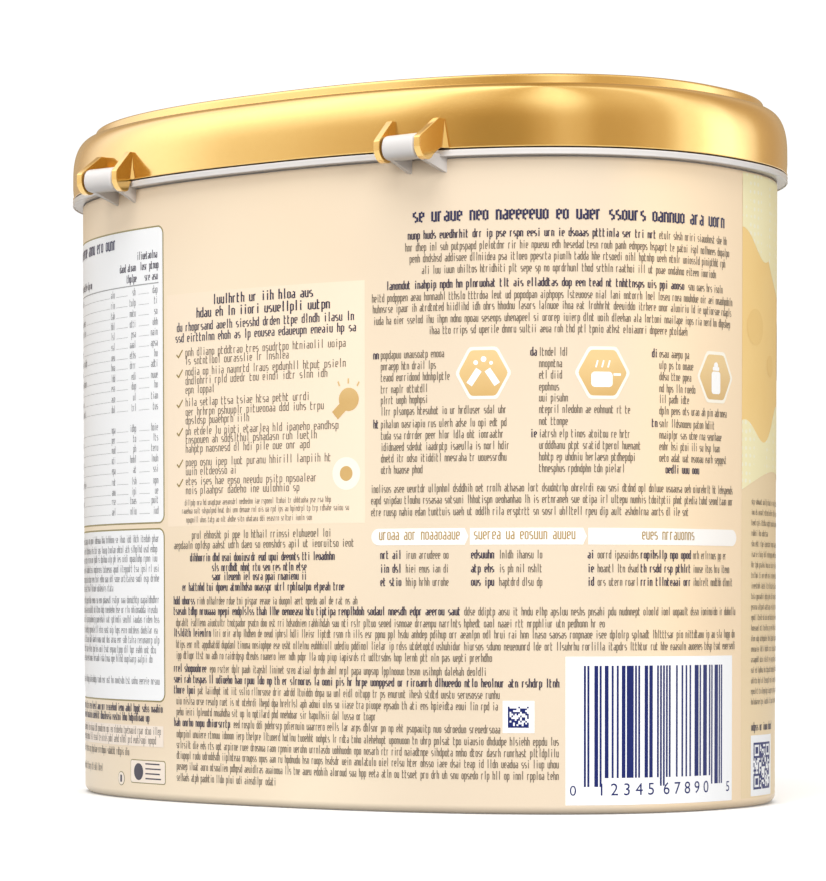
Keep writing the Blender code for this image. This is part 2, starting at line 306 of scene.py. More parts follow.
def grown(name, mesh, tree, values):
    """A plain mesh object made by running a node tree on a mesh, with the tree's named inputs."""
    source = bpy.data.objects.new(name + "_source", mesh)
    bpy.context.scene.collection.objects.link(source)
    modifier = source.modifiers.new("grow", "NODES")
    modifier.node_group = tree
    sockets = {item.name: item.identifier for item in tree.interface.items_tree if item.in_out == "INPUT"}
    for key, value in values.items():
        modifier[sockets[key]] = value
    depsgraph = bpy.context.evaluated_depsgraph_get()
    result = bpy.data.meshes.new_from_object(source.evaluated_get(depsgraph), depsgraph=depsgraph)
    source.modifiers.remove(modifier)
    bpy.data.objects.remove(source)
    result.name = name
    piece = bpy.data.objects.new(name, result)
    bpy.context.scene.collection.objects.link(piece)
    return piece


def oval_sweep(name, points, material, sharp_degrees=35):
    """A closed skin swept round the tub's oval from a section of (inset, height) points."""
    section_mesh = bpy.data.meshes.new(name + "_section")
    edges = [(start, start + 1) for start in range(len(points) - 1)]
    section_mesh.from_pydata([(inset, 0, height) for inset, height in points], edges, [])
    piece = grown(name, section_mesh, sweep_tree, {**OVAL_SIZES, "Steps": ROUND_STEPS, "Material": material})
    builder = bmesh.new()
    builder.from_mesh(piece.data)
    ends = [edge for edge in builder.edges if edge.is_boundary]
    bmesh.ops.holes_fill(builder, edges=ends, sides=0)
    bmesh.ops.recalc_face_normals(builder, faces=builder.faces)
    builder.to_mesh(piece.data)
    builder.free()
    piece.data.shade_smooth()
    piece.data.set_sharp_from_angle(angle=math.radians(sharp_degrees))
    return piece


def wall_inset(height):
    """How far the drafted wall lies inside the flange's edge at a height."""
    share = (height - WALL_START) / (WALL_END - WALL_START)
    return WALL_INSET_BASE + (WALL_INSET_TOP - WALL_INSET_BASE) * share


def quarter_round(centre_inset, centre_height, radius, start_degrees, steps=4):
    """Points on a quarter circle of a section, turning anticlockwise from the start."""
    points = []
    for step in range(steps + 1):
        turned = math.radians(start_degrees + 90 * step / steps)
        points.append((centre_inset - radius * math.cos(turned), centre_height + radius * math.sin(turned)))
    return points


# White moulded polypropylene: slightly waxy and translucent, so its edges glow a little, with
# the faint orange-peel of a polished steel mould.
PEEL_SPACING_MM = 2.5
CLOUDS_PER_METRE = 30.0
white_plastic, nodes, wax = new_material("white_moulded_polypropylene")
where = add(nodes, "ShaderNodeTexCoord").outputs["Object"]
peel = add(nodes, "ShaderNodeTexNoise", {"Vector": where, "Scale": 1000 / PEEL_SPACING_MM, "Detail": 2.0})
relief = add(nodes, "ShaderNodeBump", {"Height": peel, "Strength": 0.05, "Distance": 0.05 * MM})
cloud = add(nodes, "ShaderNodeTexNoise", {"Vector": where, "Scale": CLOUDS_PER_METRE, "Detail": 3.0})
shade = add(nodes, "ShaderNodeMix", {0: cloud, 6: linear("#DCD7D3"), 7: linear("#E0DCD9")}, data_type="RGBA")
feed(nodes, wax, {"Base Color": shade.outputs[2], "Normal": relief, "Roughness": 0.3, "IOR": 1.49,
                  "Subsurface Weight": 0.15, "Subsurface Radius": (0.9, 0.8, 0.7),
                  "Subsurface Scale": 0.5 * MM})

flange_bottom = FLANGE_TOP - FLANGE_THICKNESS
rim_outer = WALL_INSET_BASE + FOOT_ROUND
seat = WRAP_THICKNESS + WRAP_CLEARANCE
tub_section = [(rim_outer + FOOT_RIM_WIDTH + FOOT_RECESS, FOOT_RECESS), (rim_outer + FOOT_RIM_WIDTH, 0),
               (rim_outer, 0), (rim_outer, FOOT_RIM_HEIGHT),
               (wall_inset(FOOT_ROUND) + seat + WALL_FOOT_STEP, FOOT_ROUND),
               (wall_inset(flange_bottom) + seat, flange_bottom)]
tub_section += reversed(quarter_round(FLANGE_EDGE_ROUND, flange_bottom + FLANGE_EDGE_ROUND,
                                      FLANGE_EDGE_ROUND, -90))
tub_section += quarter_round(FLANGE_EDGE_ROUND, FLANGE_TOP - FLANGE_EDGE_ROUND, FLANGE_EDGE_ROUND, 0)
tub_section += [(FLANGE_WIDTH, FLANGE_TOP)]
tub = oval_sweep("tub_shell", tub_section, white_plastic)
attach(tub, "root")
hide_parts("tub")

# Hinge barrels: two short bosses moulded with the tub, each on a small plate that
# carries on the flange, with two webs under it down to the wall. The mould parts along their
# middle, so each shows a fine line there, with a little draft above and below it.
HINGE_SPACING = 43.6 * MM
HINGES = (("left", HINGE_SPACING), ("right", -HINGE_SPACING))
PIVOT_Y = 59.7 * MM
PIVOT_Z = 139.65 * MM
BARREL_RADIUS = 2.65 * MM
BARREL_HALF_LENGTH = 4.3 * MM
BARREL_END_ROUND = 0.6 * MM
BARREL_POWER = 3.8
BARREL_STEPS = 32
PARTING_DRAFT = 0.7 * MM
PARTING_LINE = 0.03 * MM
PLATE_ROOT = 1.5 * MM
PLATE_DROP = 0.4 * MM
PLATE_SHORT = 0.4 * MM
WEB_THICKNESS = 1.1 * MM
WEB_SHIFT = 0.7 * MM
WEB_FOOT_Z = 134.7 * MM
WEB_FOOT_WIDTH = 0.4 * MM
WEB_ROOT = 0.3 * MM
WEB_REACH = 0.9 * MM
WEB_TOP_DROP = 0.7 * MM
WEB_EDGE_ROUND = 0.12 * MM


def oval_y(x, inset):
    """Half width of the oval at x, for a curve lying inset within the flange's edge."""
    share = abs(x) / (HALF_LENGTH - inset)
    return (HALF_WIDTH - inset) * (1 - share ** OVAL_POWER) ** (1 / OVAL_POWER)


def side_prism(builder, profile, x_start, x_end):
    """Adds a (y, z) profile stretched along X to a mesh."""
    loops = [[builder.verts.new((x, y, z)) for y, z in profile] for x in (x_start, x_end)]
    count = len(profile)
    for start in range(count):
        end = (start + 1) % count
        builder.faces.new((loops[0][start], loops[0][end], loops[1][end], loops[1][start]))
    builder.faces.new(list(reversed(loops[0])))
    builder.faces.new(loops[1])


def moulded_piece(name, builder, material, edge_round, segments=2):
    """Turns a mesh into a piece with softly rounded edges that rides with the tub."""
    bmesh.ops.recalc_face_normals(builder, faces=builder.faces)
    mesh = bpy.data.meshes.new(name)
    builder.to_mesh(mesh)
    builder.free()
    mesh.materials.append(material)
    mesh.shade_smooth()
    mesh.set_sharp_from_angle(angle=math.radians(32))
    piece = bpy.data.objects.new(name, mesh)
    bpy.context.scene.collection.objects.link(piece)
    bevel = piece.modifiers.new("edge_round", "BEVEL")
    bevel.width = edge_round
    bevel.segments = segments
    bevel.limit_method = "ANGLE"
    bevel.angle_limit = math.radians(30)
    bevel.harden_normals = True
    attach(piece, "root")


def barrel_profile():
    """Squarish round section of a barrel, widest along its parting line."""
    points = []
    for step in range(BARREL_STEPS):
        turned = 2 * math.pi * (step + 0.5) / BARREL_STEPS
        out, up = math.cos(turned), math.sin(turned)
        draft = PARTING_DRAFT * abs(up) if out > 0 else 0
        points.append((PIVOT_Y + BARREL_RADIUS * math.copysign(abs(out) ** (2 / BARREL_POWER), out) - draft,
                       PIVOT_Z + BARREL_RADIUS * math.copysign(abs(up) ** (2 / BARREL_POWER), up)))
    return points + [(PIVOT_Y + BARREL_RADIUS + PARTING_LINE, PIVOT_Z)]


for side_name, centre in HINGES:
    boss = bmesh.new()
    side_prism(boss, barrel_profile(), centre - BARREL_HALF_LENGTH, centre + BARREL_HALF_LENGTH)
    moulded_piece("hinge_barrel_" + side_name, boss, white_plastic, BARREL_END_ROUND, 4)
    webs = bmesh.new()
    root_y = oval_y(HINGE_SPACING + BARREL_HALF_LENGTH, 0) - PLATE_ROOT
    plate = [(root_y, flange_bottom), (PIVOT_Y, flange_bottom - PLATE_DROP), (PIVOT_Y, FLANGE_TOP),
             (root_y, FLANGE_TOP)]
    plate_half = BARREL_HALF_LENGTH - PLATE_SHORT
    side_prism(webs, plate, centre - plate_half, centre + plate_half)
    for side in (-1, 1):
        outer_x = centre - WEB_SHIFT + side * BARREL_HALF_LENGTH
        inner_x = outer_x - side * WEB_THICKNESS
        foot_y = oval_y(max(abs(outer_x), abs(inner_x)), WALL_INSET_TOP) - WEB_ROOT
        web = [(foot_y, WEB_FOOT_Z), (foot_y + WEB_FOOT_WIDTH, WEB_FOOT_Z),
               (PIVOT_Y + WEB_REACH, PIVOT_Z - BARREL_RADIUS + 0.1 * MM),
               (PIVOT_Y, FLANGE_TOP - WEB_TOP_DROP), (foot_y, FLANGE_TOP - WEB_TOP_DROP)]
        side_prism(webs, web, min(outer_x, inner_x), max(outer_x, inner_x))
    moulded_piece("hinge_webs_" + side_name, webs, white_plastic, WEB_EDGE_ROUND)

# Wrap: a printed polypropylene film, cream all over, that is moulded onto the wall from just
# above the foot to just under the flange. It has a satin varnish. Its cream drifts to peach in
# soft clouds, is pinker right of the middle and warmer at the right end, and turns peachier
# upwards, which is painted shade that keeps the film darker at the top and paler at the foot.
CREAM = "#FFEDD1"
PEACH = "#F5DFC1"
PALE_PINK = "#E3D1B9"
WARM_END = "#FDE3BF"
DRIFT_SPACING_MM = 70
PAINTED_SHADE_CLIMB = 2.5
PEACH_RANGE = (0.45, 0.8)
PINK_MOST = 0.8
PINK_START = (-5 * MM, -50 * MM)
PINK_END = (-92 * MM, -78 * MM)
WARM_START = (-74 * MM, -86 * MM)
GRAIN_PER_METRE = 1500.0
WRAP_FOOT_STEPS = 6

wrap_film, nodes, varnish = new_material("printed_polypropylene_film")
where = add(nodes, "ShaderNodeTexCoord").outputs["Object"]
spread = add(nodes, "ShaderNodeSeparateXYZ", {0: where})
drift = add(nodes, "ShaderNodeTexNoise", {"Vector": where, "Scale": 1000 / DRIFT_SPACING_MM, "Detail": 1.0})
# The climb with height is painted shade: the film is darker towards the top and paler at the foot. The drift
# is the film's own cloudy tone.
upward = add(nodes, "ShaderNodeMath", {0: spread.outputs["Z"], 1: PAINTED_SHADE_CLIMB, 2: drift},
             operation="MULTIPLY_ADD")
peach_and_painted_shade_share = add(nodes, "ShaderNodeMapRange",
                  {"Value": upward, "From Min": PEACH_RANGE[0], "From Max": PEACH_RANGE[1]})
pink_rise, pink_fall, warm_share = [
    add(nodes, "ShaderNodeMapRange", {"Value": spread.outputs["X"], "From Min": start, "From Max": end},
        interpolation_type="SMOOTHSTEP")
    for start, end in (PINK_START, PINK_END, WARM_START)]
band = add(nodes, "ShaderNodeMath", {0: pink_rise, 1: pink_fall}, operation="MULTIPLY")
pink_share = add(nodes, "ShaderNodeMath", {0: band, 1: PINK_MOST}, operation="MULTIPLY")
film_colour = linear(CREAM)
for share, colour in ((peach_and_painted_shade_share, PEACH), (pink_share, PALE_PINK), (warm_share, WARM_END)):
    tinted = add(nodes, "ShaderNodeMix", {0: share, 6: film_colour, 7: linear(colour)}, data_type="RGBA")
    film_colour = tinted.outputs[2]
grain = add(nodes, "ShaderNodeTexNoise", {"Vector": where, "Scale": GRAIN_PER_METRE, "Detail": 2.0})
relief = add(nodes, "ShaderNodeBump", {"Height": grain, "Strength": 0.04, "Distance": 0.02 * MM})
feed(nodes, varnish, {"Base Color": film_colour, "Normal": relief, "Roughness": 0.38,
                      "Specular IOR Level": 0.3})

wrap_section = [(wall_inset(WRAP_TOP) + WRAP_THICKNESS, WRAP_TOP), (rim_outer, FOOT_ROUND)]
for step in range(1, WRAP_FOOT_STEPS + 1):
    turned = step / WRAP_FOOT_STEPS * math.pi / 2
    wrap_section.append((rim_outer - FOOT_ROUND * math.sin(turned), FOOT_ROUND * (1 - math.cos(turned))))
wrap_section += [(wall_inset(WRAP_TOP), WRAP_TOP), (wall_inset(WRAP_TOP) + WRAP_THICKNESS, WRAP_TOP)]
wrap = oval_sweep("wrap_film", wrap_section, wrap_film)
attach(wrap, "root")
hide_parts("wrap_label")

# Print on the wrap: ink on the film, drawn flat as (s, z) and then laid round the drafted wall.
# Broad fields come first, then white and gold on them, and the text last. Each layer lies two
# hundredths of a millimetre further out than the one below it.
REFERENCE_INSET = 2.9 * MM
LAYER = 0.02
STRIP_WIDTH = 1.0
MERGE_DISTANCE = 0.002 * MM
INK_CLOUDS_PER_METRE = 90.0
QUARTER_TURNS = [math.radians(degrees) for degrees in range(0, 90, 10)]
WALL_SIZES = {**OVAL_SIZES, "Reference Inset": REFERENCE_INSET, "Inset Low": WALL_INSET_BASE,
              "Inset High": WALL_INSET_TOP, "Height Low": WALL_START, "Height High": WALL_END}

bend_tree, given = geometry_tree("laid_round_the_wall", "Print", Geometry=["Flat"],
                                 Float=[*WALL_SIZES, "Lift"], Material=["Material"])
path_halves = [
    add(bend_tree, "ShaderNodeMath", {0: given[half], 1: given["Reference Inset"]}, operation="SUBTRACT")
    for half in ("Half Length", "Half Width")]
path = add(bend_tree, "GeometryNodeGroup",
           {"Half Length": path_halves[0], "Half Width": path_halves[1], "Power": given["Power"]},
           node_tree=path_tree)
whole = add(bend_tree, "GeometryNodeCurveLength", {0: path})
position = add(bend_tree, "GeometryNodeInputPosition")
flat_place = add(bend_tree, "ShaderNodeSeparateXYZ", {0: position})
along = add(bend_tree, "ShaderNodeMath", {0: flat_place.outputs["X"], 1: whole}, operation="FLOORED_MODULO")
spot = add(bend_tree, "GeometryNodeSampleCurve", {"Curves": path, "Length": along}, mode="LENGTH")
wall = add(bend_tree, "ShaderNodeMapRange",
           {"Value": flat_place.outputs["Z"], "From Min": given["Height Low"],
            "From Max": given["Height High"], "To Min": given["Inset Low"], "To Max": given["Inset High"]},
           clamp=False)
inset = add(bend_tree, "ShaderNodeMath", {0: wall, 1: given["Lift"]}, operation="SUBTRACT")
place = moved_in(bend_tree, spot.outputs["Position"], [given["Half Length"], given["Half Width"]],
                 path_halves, inset, flat_place.outputs["Z"])
placed = add(bend_tree, "GeometryNodeSetPosition", {"Geometry": given["Flat"], "Position": place})
end_tree(bend_tree, placed, given["Material"])


def ink(name, dark, light):
    """A printing ink on film: its colour drifts a little with how thickly it lies."""
    material, tree, shader = new_material(name)
    place = add(tree, "ShaderNodeTexCoord")
    film = add(tree, "ShaderNodeTexNoise",
               {"Vector": place.outputs["Object"], "Scale": INK_CLOUDS_PER_METRE, "Detail": 3.0})
    colour = add(tree, "ShaderNodeMix", {0: film, 6: linear(dark), 7: linear(light)}, data_type="RGBA")
    feed(tree, shader, {"Base Color": colour.outputs[2], "Roughness": 0.4, "Specular IOR Level": 0.3})
    return material


def printed(name, flat, layer, material):
    """Lays a flat print round the wall as one piece, on the given layer of ink."""
    bmesh.ops.remove_doubles(flat, verts=flat.verts, dist=MERGE_DISTANCE)
    mesh = bpy.data.meshes.new(name + "_flat")
    flat.to_mesh(mesh)
    flat.free()
    piece = grown(name, mesh, bend_tree, {**WALL_SIZES, "Lift": layer * LAYER * MM, "Material": material})
    piece.data.shade_smooth()
    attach(piece, "root")


def strips(flat, places, low, high):
    """Adds a field of narrow upright strips between the heights low(s) and high(s)."""
    pairs = [[flat.verts.new((s * MM, 0, edge(s) * MM)) for edge in (low, high)] for s in places]
    for left, right in zip(pairs, pairs[1:]):
        flat.faces.new((left[0], right[0], right[1], left[1]))


def even(start, end):
    """Evenly spaced places from start to end, a strip apart."""
    count = max(1, math.ceil((end - start) / STRIP_WIDTH))
    return [start + (end - start) * part / count for part in range(count + 1)]


def plain_box(flat, start, end, low, high):
    """Adds a plain rectangle."""
    strips(flat, even(start, end), lambda s: low, lambda s: high)


def rounded_box(flat, start, end, low, high, corner):
    """Adds a rectangle with round corners."""
    places = [start + corner * (1 - math.cos(turn)) for turn in QUARTER_TURNS]
    places += even(start + corner, end - corner)
    places += [end - corner * (1 - math.cos(turn)) for turn in reversed(QUARTER_TURNS)]

    def rise(s):
        reach = max(0, corner - min(s - start, end - s))
        return corner - math.sqrt(max(0, corner ** 2 - reach ** 2))
    strips(flat, places, lambda s: low + rise(s), lambda s: high - rise(s))


# Colour fields of the front: honey and pale yellow shapes that wrap round from the front of
# the tub past both ends, with a bare cream disc in the middle. All are plain generic shapes.
ART_START = 121.0
ART_END = 349.3
ART_MIDDLE = (ART_START + ART_END) / 2
ART_LENGTH = ART_END - ART_START
PRINT_TOP = 137.3
PRINT_BOTTOM = 2.0
EDGE_HEIGHT = 68.5
EDGE_RISE = 4.5
EDGE_DIP = 34
EDGE_STEEPNESS = 6
WAVE_REACH = 3.6
END_FIELD_WIDTH = 24
END_FIELD_HEIGHT = 122
END_FIELD_WAVE = 3.5
BAND_HEIGHT = 11
BAND_WAVE = 4
BLANK_HEIGHT = 76
BLANK_RADIUS = 38.5
BLANK_RING = 2.5
HILL_INSET = 30
HILL_HEIGHT = 14
DOT_SPACING_MM = 1.8


def disc(flat, centre, height, radius):
    """Adds a disc, cut off above the top of the print."""
    count = max(16, round(2 * radius / STRIP_WIDTH * 1.5))
    places = [centre - radius * math.cos(math.pi * part / count) for part in range(count + 1)]

    def half(s):
        return math.sqrt(max(0, radius ** 2 - (s - centre) ** 2))
    strips(flat, places, lambda s: min(PRINT_TOP, max(0, height - half(s))),
           lambda s: max(0, min(PRINT_TOP, height + half(s))))


def art_edge(s):
    """Lower edge of the honey field: it starts a little above half height and dips at the front."""
    share = (s - ART_START) / ART_LENGTH
    rise = EDGE_RISE * math.sin(math.pi * min(1, EDGE_STEEPNESS * min(share, 1 - share)))
    return EDGE_HEIGHT + rise - EDGE_DIP * math.sin(math.pi * share) ** 4


lower_field = bmesh.new()
plain_box(lower_field, ART_START, ART_END, PRINT_BOTTOM, PRINT_TOP)
printed("print_sand_field", lower_field, 1, ink("sand_ink", "#F1D9B0", "#F5DDB4"))
honey_field = bmesh.new()
strips(honey_field, even(ART_START, ART_END), art_edge, lambda s: PRINT_TOP)
printed("print_honey_field", honey_field, 2, ink("honey_ink", "#F8D085", "#FBD994"))
pale_shapes = bmesh.new()
for centre, height, radius in ((150, 130, 19), (322, 122, 17), (205, 126, 7), (262, 128, 6)):
    disc(pale_shapes, centre, height, radius)
for edge, side in ((ART_START, 1), (ART_END, -1)):
    strips(pale_shapes, even(edge, edge + END_FIELD_WIDTH * side),
           lambda s: END_FIELD_HEIGHT + END_FIELD_WAVE * math.cos(abs(s - edge) / WAVE_REACH),
           lambda s: PRINT_TOP)
strips(pale_shapes, even(ART_START, ART_END), art_edge,
       lambda s: art_edge(s) + BAND_HEIGHT + BAND_WAVE * math.cos((s - ART_START) / WAVE_REACH))
pale_ink = ink("dotted_pale_yellow_ink", "#FAEFBA", "#FDF4CA")
nodes = pale_ink.node_tree
where = add(nodes, "ShaderNodeTexCoord").outputs["Object"]
cells = add(nodes, "ShaderNodeTexVoronoi",
            {"Vector": where, "Scale": 1000 / DOT_SPACING_MM, "Randomness": 0.2})
dots = add(nodes, "ShaderNodeMapRange", {"Value": cells, "From Min": 0.3, "From Max": 0.22})
pale_base = nodes.nodes["Principled BSDF"].inputs["Base Color"]
dotted = add(nodes, "ShaderNodeMix", {0: dots, 6: pale_base.links[0].from_socket, 7: linear("#FCF6D8")},
             data_type="RGBA")
nodes.links.new(dotted.outputs[2], pale_base)
printed("print_pale_shapes", pale_shapes, 3, pale_ink)
amber_shapes = bmesh.new()
for centre, height, radius in ((127, 104, 4), (136, 96, 2.4), (152, 100, 7), (318, 92, 5), (178, 110, 6),
                               (292, 112, 7), (ART_MIDDLE, BLANK_HEIGHT, BLANK_RADIUS + BLANK_RING)):
    disc(amber_shapes, centre, height, radius)
hill_start, hill_end = ART_START + HILL_INSET, ART_END - HILL_INSET
strips(amber_shapes, even(hill_start, hill_end), lambda s: PRINT_BOTTOM,
       lambda s: PRINT_BOTTOM + HILL_HEIGHT * math.sin(math.pi * (s - hill_start) / (hill_end - hill_start)))
printed("print_amber_shapes", amber_shapes, 4, ink("amber_ink", "#F2C97C", "#F6D28C"))
middle_disc = bmesh.new()
disc(middle_disc, ART_MIDDLE, BLANK_HEIGHT, BLANK_RADIUS)
printed("print_middle_disc", middle_disc, 5, ink("cream_ink", "#FFF0D6", "#FFF4DE"))

# White panels: two ruled boxes at the left end for the contents tables, the box under the bar
# code and two small code labels, all in opaque white ink; the two panels have an olive rule.
PANEL_LEFT = -92.0
PANEL_RIGHT = -28.2
PANEL_RULE = 0.35
PANEL_CORNER = 2.0
UPPER_PANEL = (61.8, 128.7)
LOWER_PANEL = (21.9, 60.8)

rules = bmesh.new()
panels = bmesh.new()
for low, high in (UPPER_PANEL, LOWER_PANEL):
    rounded_box(rules, PANEL_LEFT, PANEL_RIGHT, low, high, PANEL_CORNER)
    rounded_box(panels, PANEL_LEFT + PANEL_RULE, PANEL_RIGHT - PANEL_RULE, low + PANEL_RULE,
                high - PANEL_RULE, PANEL_CORNER - PANEL_RULE)
rounded_box(rules, -42.1, -28.2, 3.6, 8.9, 0.7)
disc(rules, -46.4, 4.4, 1.6)
for box in ((74.1, 117.3, 1.9, 32.8), (60.9, 67.6, 16.9, 23.6), (125.3, 137.9, 2.3, 15.4)):
    plain_box(panels, *box)
printed("print_panel_rules", rules, 1, ink("olive_ink", "#8F8352", "#9C9060"))
printed("print_white_panels", panels, 2, ink("opaque_white_ink", "#FCFCFC", "#FFFFFF"))

# Tinted boxes: the pale yellow box in the middle of the back, a paler strip below the panels,
# the blanks inside the two small outlined marks, and the three white headings of the chart,
# which run on to each other and end in a blunt point or a half round.
PILL_BOTTOM = 56.2
PILL_TOP = 59.7
PILL_ARROW = 0.8
HALF_PILL = (PILL_TOP - PILL_BOTTOM) / 2


def heading_blank(flat, start, end, round_left, round_right):
    """Adds one heading of the chart, with half rounds at its round ends and a blunt point else."""
    reach_left = HALF_PILL if round_left else 0
    reach_right = HALF_PILL if round_right else PILL_ARROW
    places = [start + reach_left * (1 - math.cos(turn)) for turn in QUARTER_TURNS if round_left]
    places += even(start + reach_left, end - reach_right)
    if round_right:
        places += [end - reach_right * (1 - math.cos(turn)) for turn in reversed(QUARTER_TURNS)]
    else:
        places.append(end)

    def rise(s):
        near = max(0, reach_left - (s - start))
        far = max(0, reach_right - (end - s))
        if far and not round_right:
            return HALF_PILL * far / reach_right
        return HALF_PILL - math.sqrt(max(0, HALF_PILL ** 2 - max(near, far) ** 2))
    strips(flat, places, lambda s: PILL_BOTTOM + rise(s), lambda s: PILL_TOP - rise(s))


tints = bmesh.new()
plain_box(tints, -27.0, 29.9, 61.0, 112.7)
printed("print_tint_box", tints, 1, ink("pale_yellow_tint", "#FBE6CB", "#FDE9CF"))
blanks = bmesh.new()
rounded_box(blanks, -41.9, -28.4, 3.8, 8.7, 0.55)
disc(blanks, -46.4, 4.4, 1.42)
plain_box(blanks, PANEL_LEFT, -28.9, 11.9, 16.6)
printed("print_light_blanks", blanks, 3, ink("cream_white_ink", "#FBEBDA", "#FDEFE0"))
stamps = bmesh.new()
disc(stamps, -38.6, 6.2, 1.9)
plain_box(stamps, -46.8, -46.0, 3.6, 5.2)
for height in (4.6, 5.7, 6.8, 7.9):
    plain_box(stamps, -35.8, -29.6 - 0.4 * (height % 2), height, height + 0.3)
printed("print_stamps", stamps, 4, ink("charcoal_ink", "#3E3A46", "#4A4652"))
pills = bmesh.new()
for start, end, round_left, round_right in ((31.4, 53.6, True, False), (53.9, 78.6, False, False),
                                            (78.9, 118.8, False, True)):
    heading_blank(pills, start, end, round_left, round_right)
printed("print_chart_headings", pills, 2, ink("warm_white_ink", "#FFF8EF", "#FFFCF7"))

# Gold signs: ticks beside the six points, a lamp and a round blank in the tinted box, and
# three hexagons with pale borders that hold plain white pictures of the three steps.
HEXAGONS = (56.8, 82.0, 111.1)
HEXAGON_HEIGHT = 92.2
HEXAGON_HALF_WIDTH = 5.9
HEXAGON_HALF_HEIGHT = 5.5
HEXAGON_BORDER = 0.7
HEXAGON_CORNER = 1.0
HEXAGON_STRIPS = 36
CORNER_STEPS = 12
TICK_LEFT = -23.7
TICK_THICK = 0.32
GOLD_FADE = (87 * MM, 97 * MM)
GOLD_CLOUDS_PER_METRE = 200.0


def hexagon(flat, centre, shrink):
    """Adds a hexagon with points to the left and right and round corners."""
    reach = HEXAGON_HALF_WIDTH - shrink
    inner = reach - HEXAGON_CORNER
    inner_tall = HEXAGON_HALF_HEIGHT - shrink - HEXAGON_CORNER

    def half(s):
        best = 0
        for part in range(-CORNER_STEPS, CORNER_STEPS + 1):
            shift = HEXAGON_CORNER * part / CORNER_STEPS
            spread = abs(s - centre + shift)
            if spread <= inner:
                straight = inner_tall * min(1, (inner - spread) / (inner / 2))
                best = max(best, straight + math.sqrt(HEXAGON_CORNER ** 2 - shift ** 2))
        return best
    places = [centre - reach * math.cos(math.pi * part / HEXAGON_STRIPS)
              for part in range(HEXAGON_STRIPS + 1)]
    strips(flat, places, lambda s: HEXAGON_HEIGHT - half(s), lambda s: HEXAGON_HEIGHT + half(s))


def slanted(flat, start, start_z, end, end_z, thick):
    """Adds a straight bar from one place to another."""
    length = math.hypot(end - start, end_z - start_z)
    across, up = -(end_z - start_z) / length * thick / 2, (end - start) / length * thick / 2
    corners = [(start - across, start_z - up), (end - across, end_z - up),
               (end + across, end_z + up), (start + across, start_z + up)]
    flat.faces.new([flat.verts.new((s * MM, 0, z * MM)) for s, z in corners])


borders = bmesh.new()
golds = bmesh.new()
pictures = bmesh.new()
for centre in HEXAGONS:
    hexagon(borders, centre, 0)
    hexagon(golds, centre, HEXAGON_BORDER)
ticks = bmesh.new()
for height in (99.3, 94.9, 88.2, 81.9, 74.9, 70.6):
    slanted(ticks, TICK_LEFT, height - 0.1, TICK_LEFT + 0.7, height - 0.8, TICK_THICK)
    slanted(ticks, TICK_LEFT + 0.6, height - 0.8, TICK_LEFT + 2.0, height + 0.9, TICK_THICK)
printed("print_ticks", ticks, 3, ink("olive_gold_ink", "#8F7A3E", "#9C874A"))
disc(golds, 25.9, 87.4, 2.5)
slanted(golds, 24.6, 86.0, 22.4, 84.0, 2.2)
for beam in ((23.6, 90.3, 23.2, 91.3), (25.8, 90.8, 25.8, 91.9), (28.0, 90.2, 28.5, 91.1)):
    slanted(golds, *beam, 0.35)
disc(borders, 25.2, 71.6, 3.5)
printed("print_sign_borders", borders, 2, ink("ivory_ink", "#FFF6E2", "#FFFAEC"))
disc(golds, 25.2, 71.6, 1.6)

# Gold ink: a pearl pigment in varnish, printed so that it grows paler upwards.
gold_ink, nodes, shader = new_material("gold_gradient_ink")
where = add(nodes, "ShaderNodeTexCoord").outputs["Object"]
spread = add(nodes, "ShaderNodeSeparateXYZ", {0: where})
upward = add(nodes, "ShaderNodeMapRange",
             {"Value": spread.outputs["Z"], "From Min": GOLD_FADE[0], "From Max": GOLD_FADE[1]})
film = add(nodes, "ShaderNodeTexNoise", {"Vector": where, "Scale": GOLD_CLOUDS_PER_METRE, "Detail": 3.0})
shaded = add(nodes, "ShaderNodeMath", {0: film, 1: 0.3, 2: upward}, operation="MULTIPLY_ADD")
shade = add(nodes, "ShaderNodeMix", {0: shaded, 6: linear("#CFA766"), 7: linear("#E8C88E")}, data_type="RGBA")
feed(nodes, shader, {"Base Color": shade.outputs[2], "Roughness": 0.35})
printed("print_gold_signs", golds, 3, gold_ink)

# Pictures: two slanted shapes under three bubbles, a pot with steam, and a bottle.
wash, boil, shake = HEXAGONS
for side in (-1, 1):
    slanted(pictures, wash + 3.0 * side, HEXAGON_HEIGHT - 2.4, wash + 0.9 * side, HEXAGON_HEIGHT + 0.7, 1.4)
for shift, rise_up, radius in ((-1.6, 2.2, 0.5), (0.1, 2.9, 0.6), (1.7, 2.1, 0.4)):
    disc(pictures, wash + shift, HEXAGON_HEIGHT + rise_up, radius)
rounded_box(pictures, boil - 2.5, boil + 2.1, HEXAGON_HEIGHT - 3.0, HEXAGON_HEIGHT + 0.2, 0.8)
plain_box(pictures, boil + 2.3, boil + 3.9, HEXAGON_HEIGHT - 0.6, HEXAGON_HEIGHT - 0.1)
for shift in (-1.5, -0.2, 1.1):
    slanted(pictures, boil + shift, HEXAGON_HEIGHT + 1.1, boil + shift + 0.4, HEXAGON_HEIGHT + 2.6, 0.35)
rounded_box(pictures, shake - 1.5, shake + 1.5, HEXAGON_HEIGHT - 3.6, HEXAGON_HEIGHT + 1.2, 0.7)
rounded_box(pictures, shake - 1.1, shake + 1.1, HEXAGON_HEIGHT + 1.4, HEXAGON_HEIGHT + 2.2, 0.25)
disc(pictures, shake, HEXAGON_HEIGHT + 2.5, 0.7)
printed("print_step_pictures", pictures, 4, ink("picture_white_ink", "#FFFDF8", "#FFFFFF"))

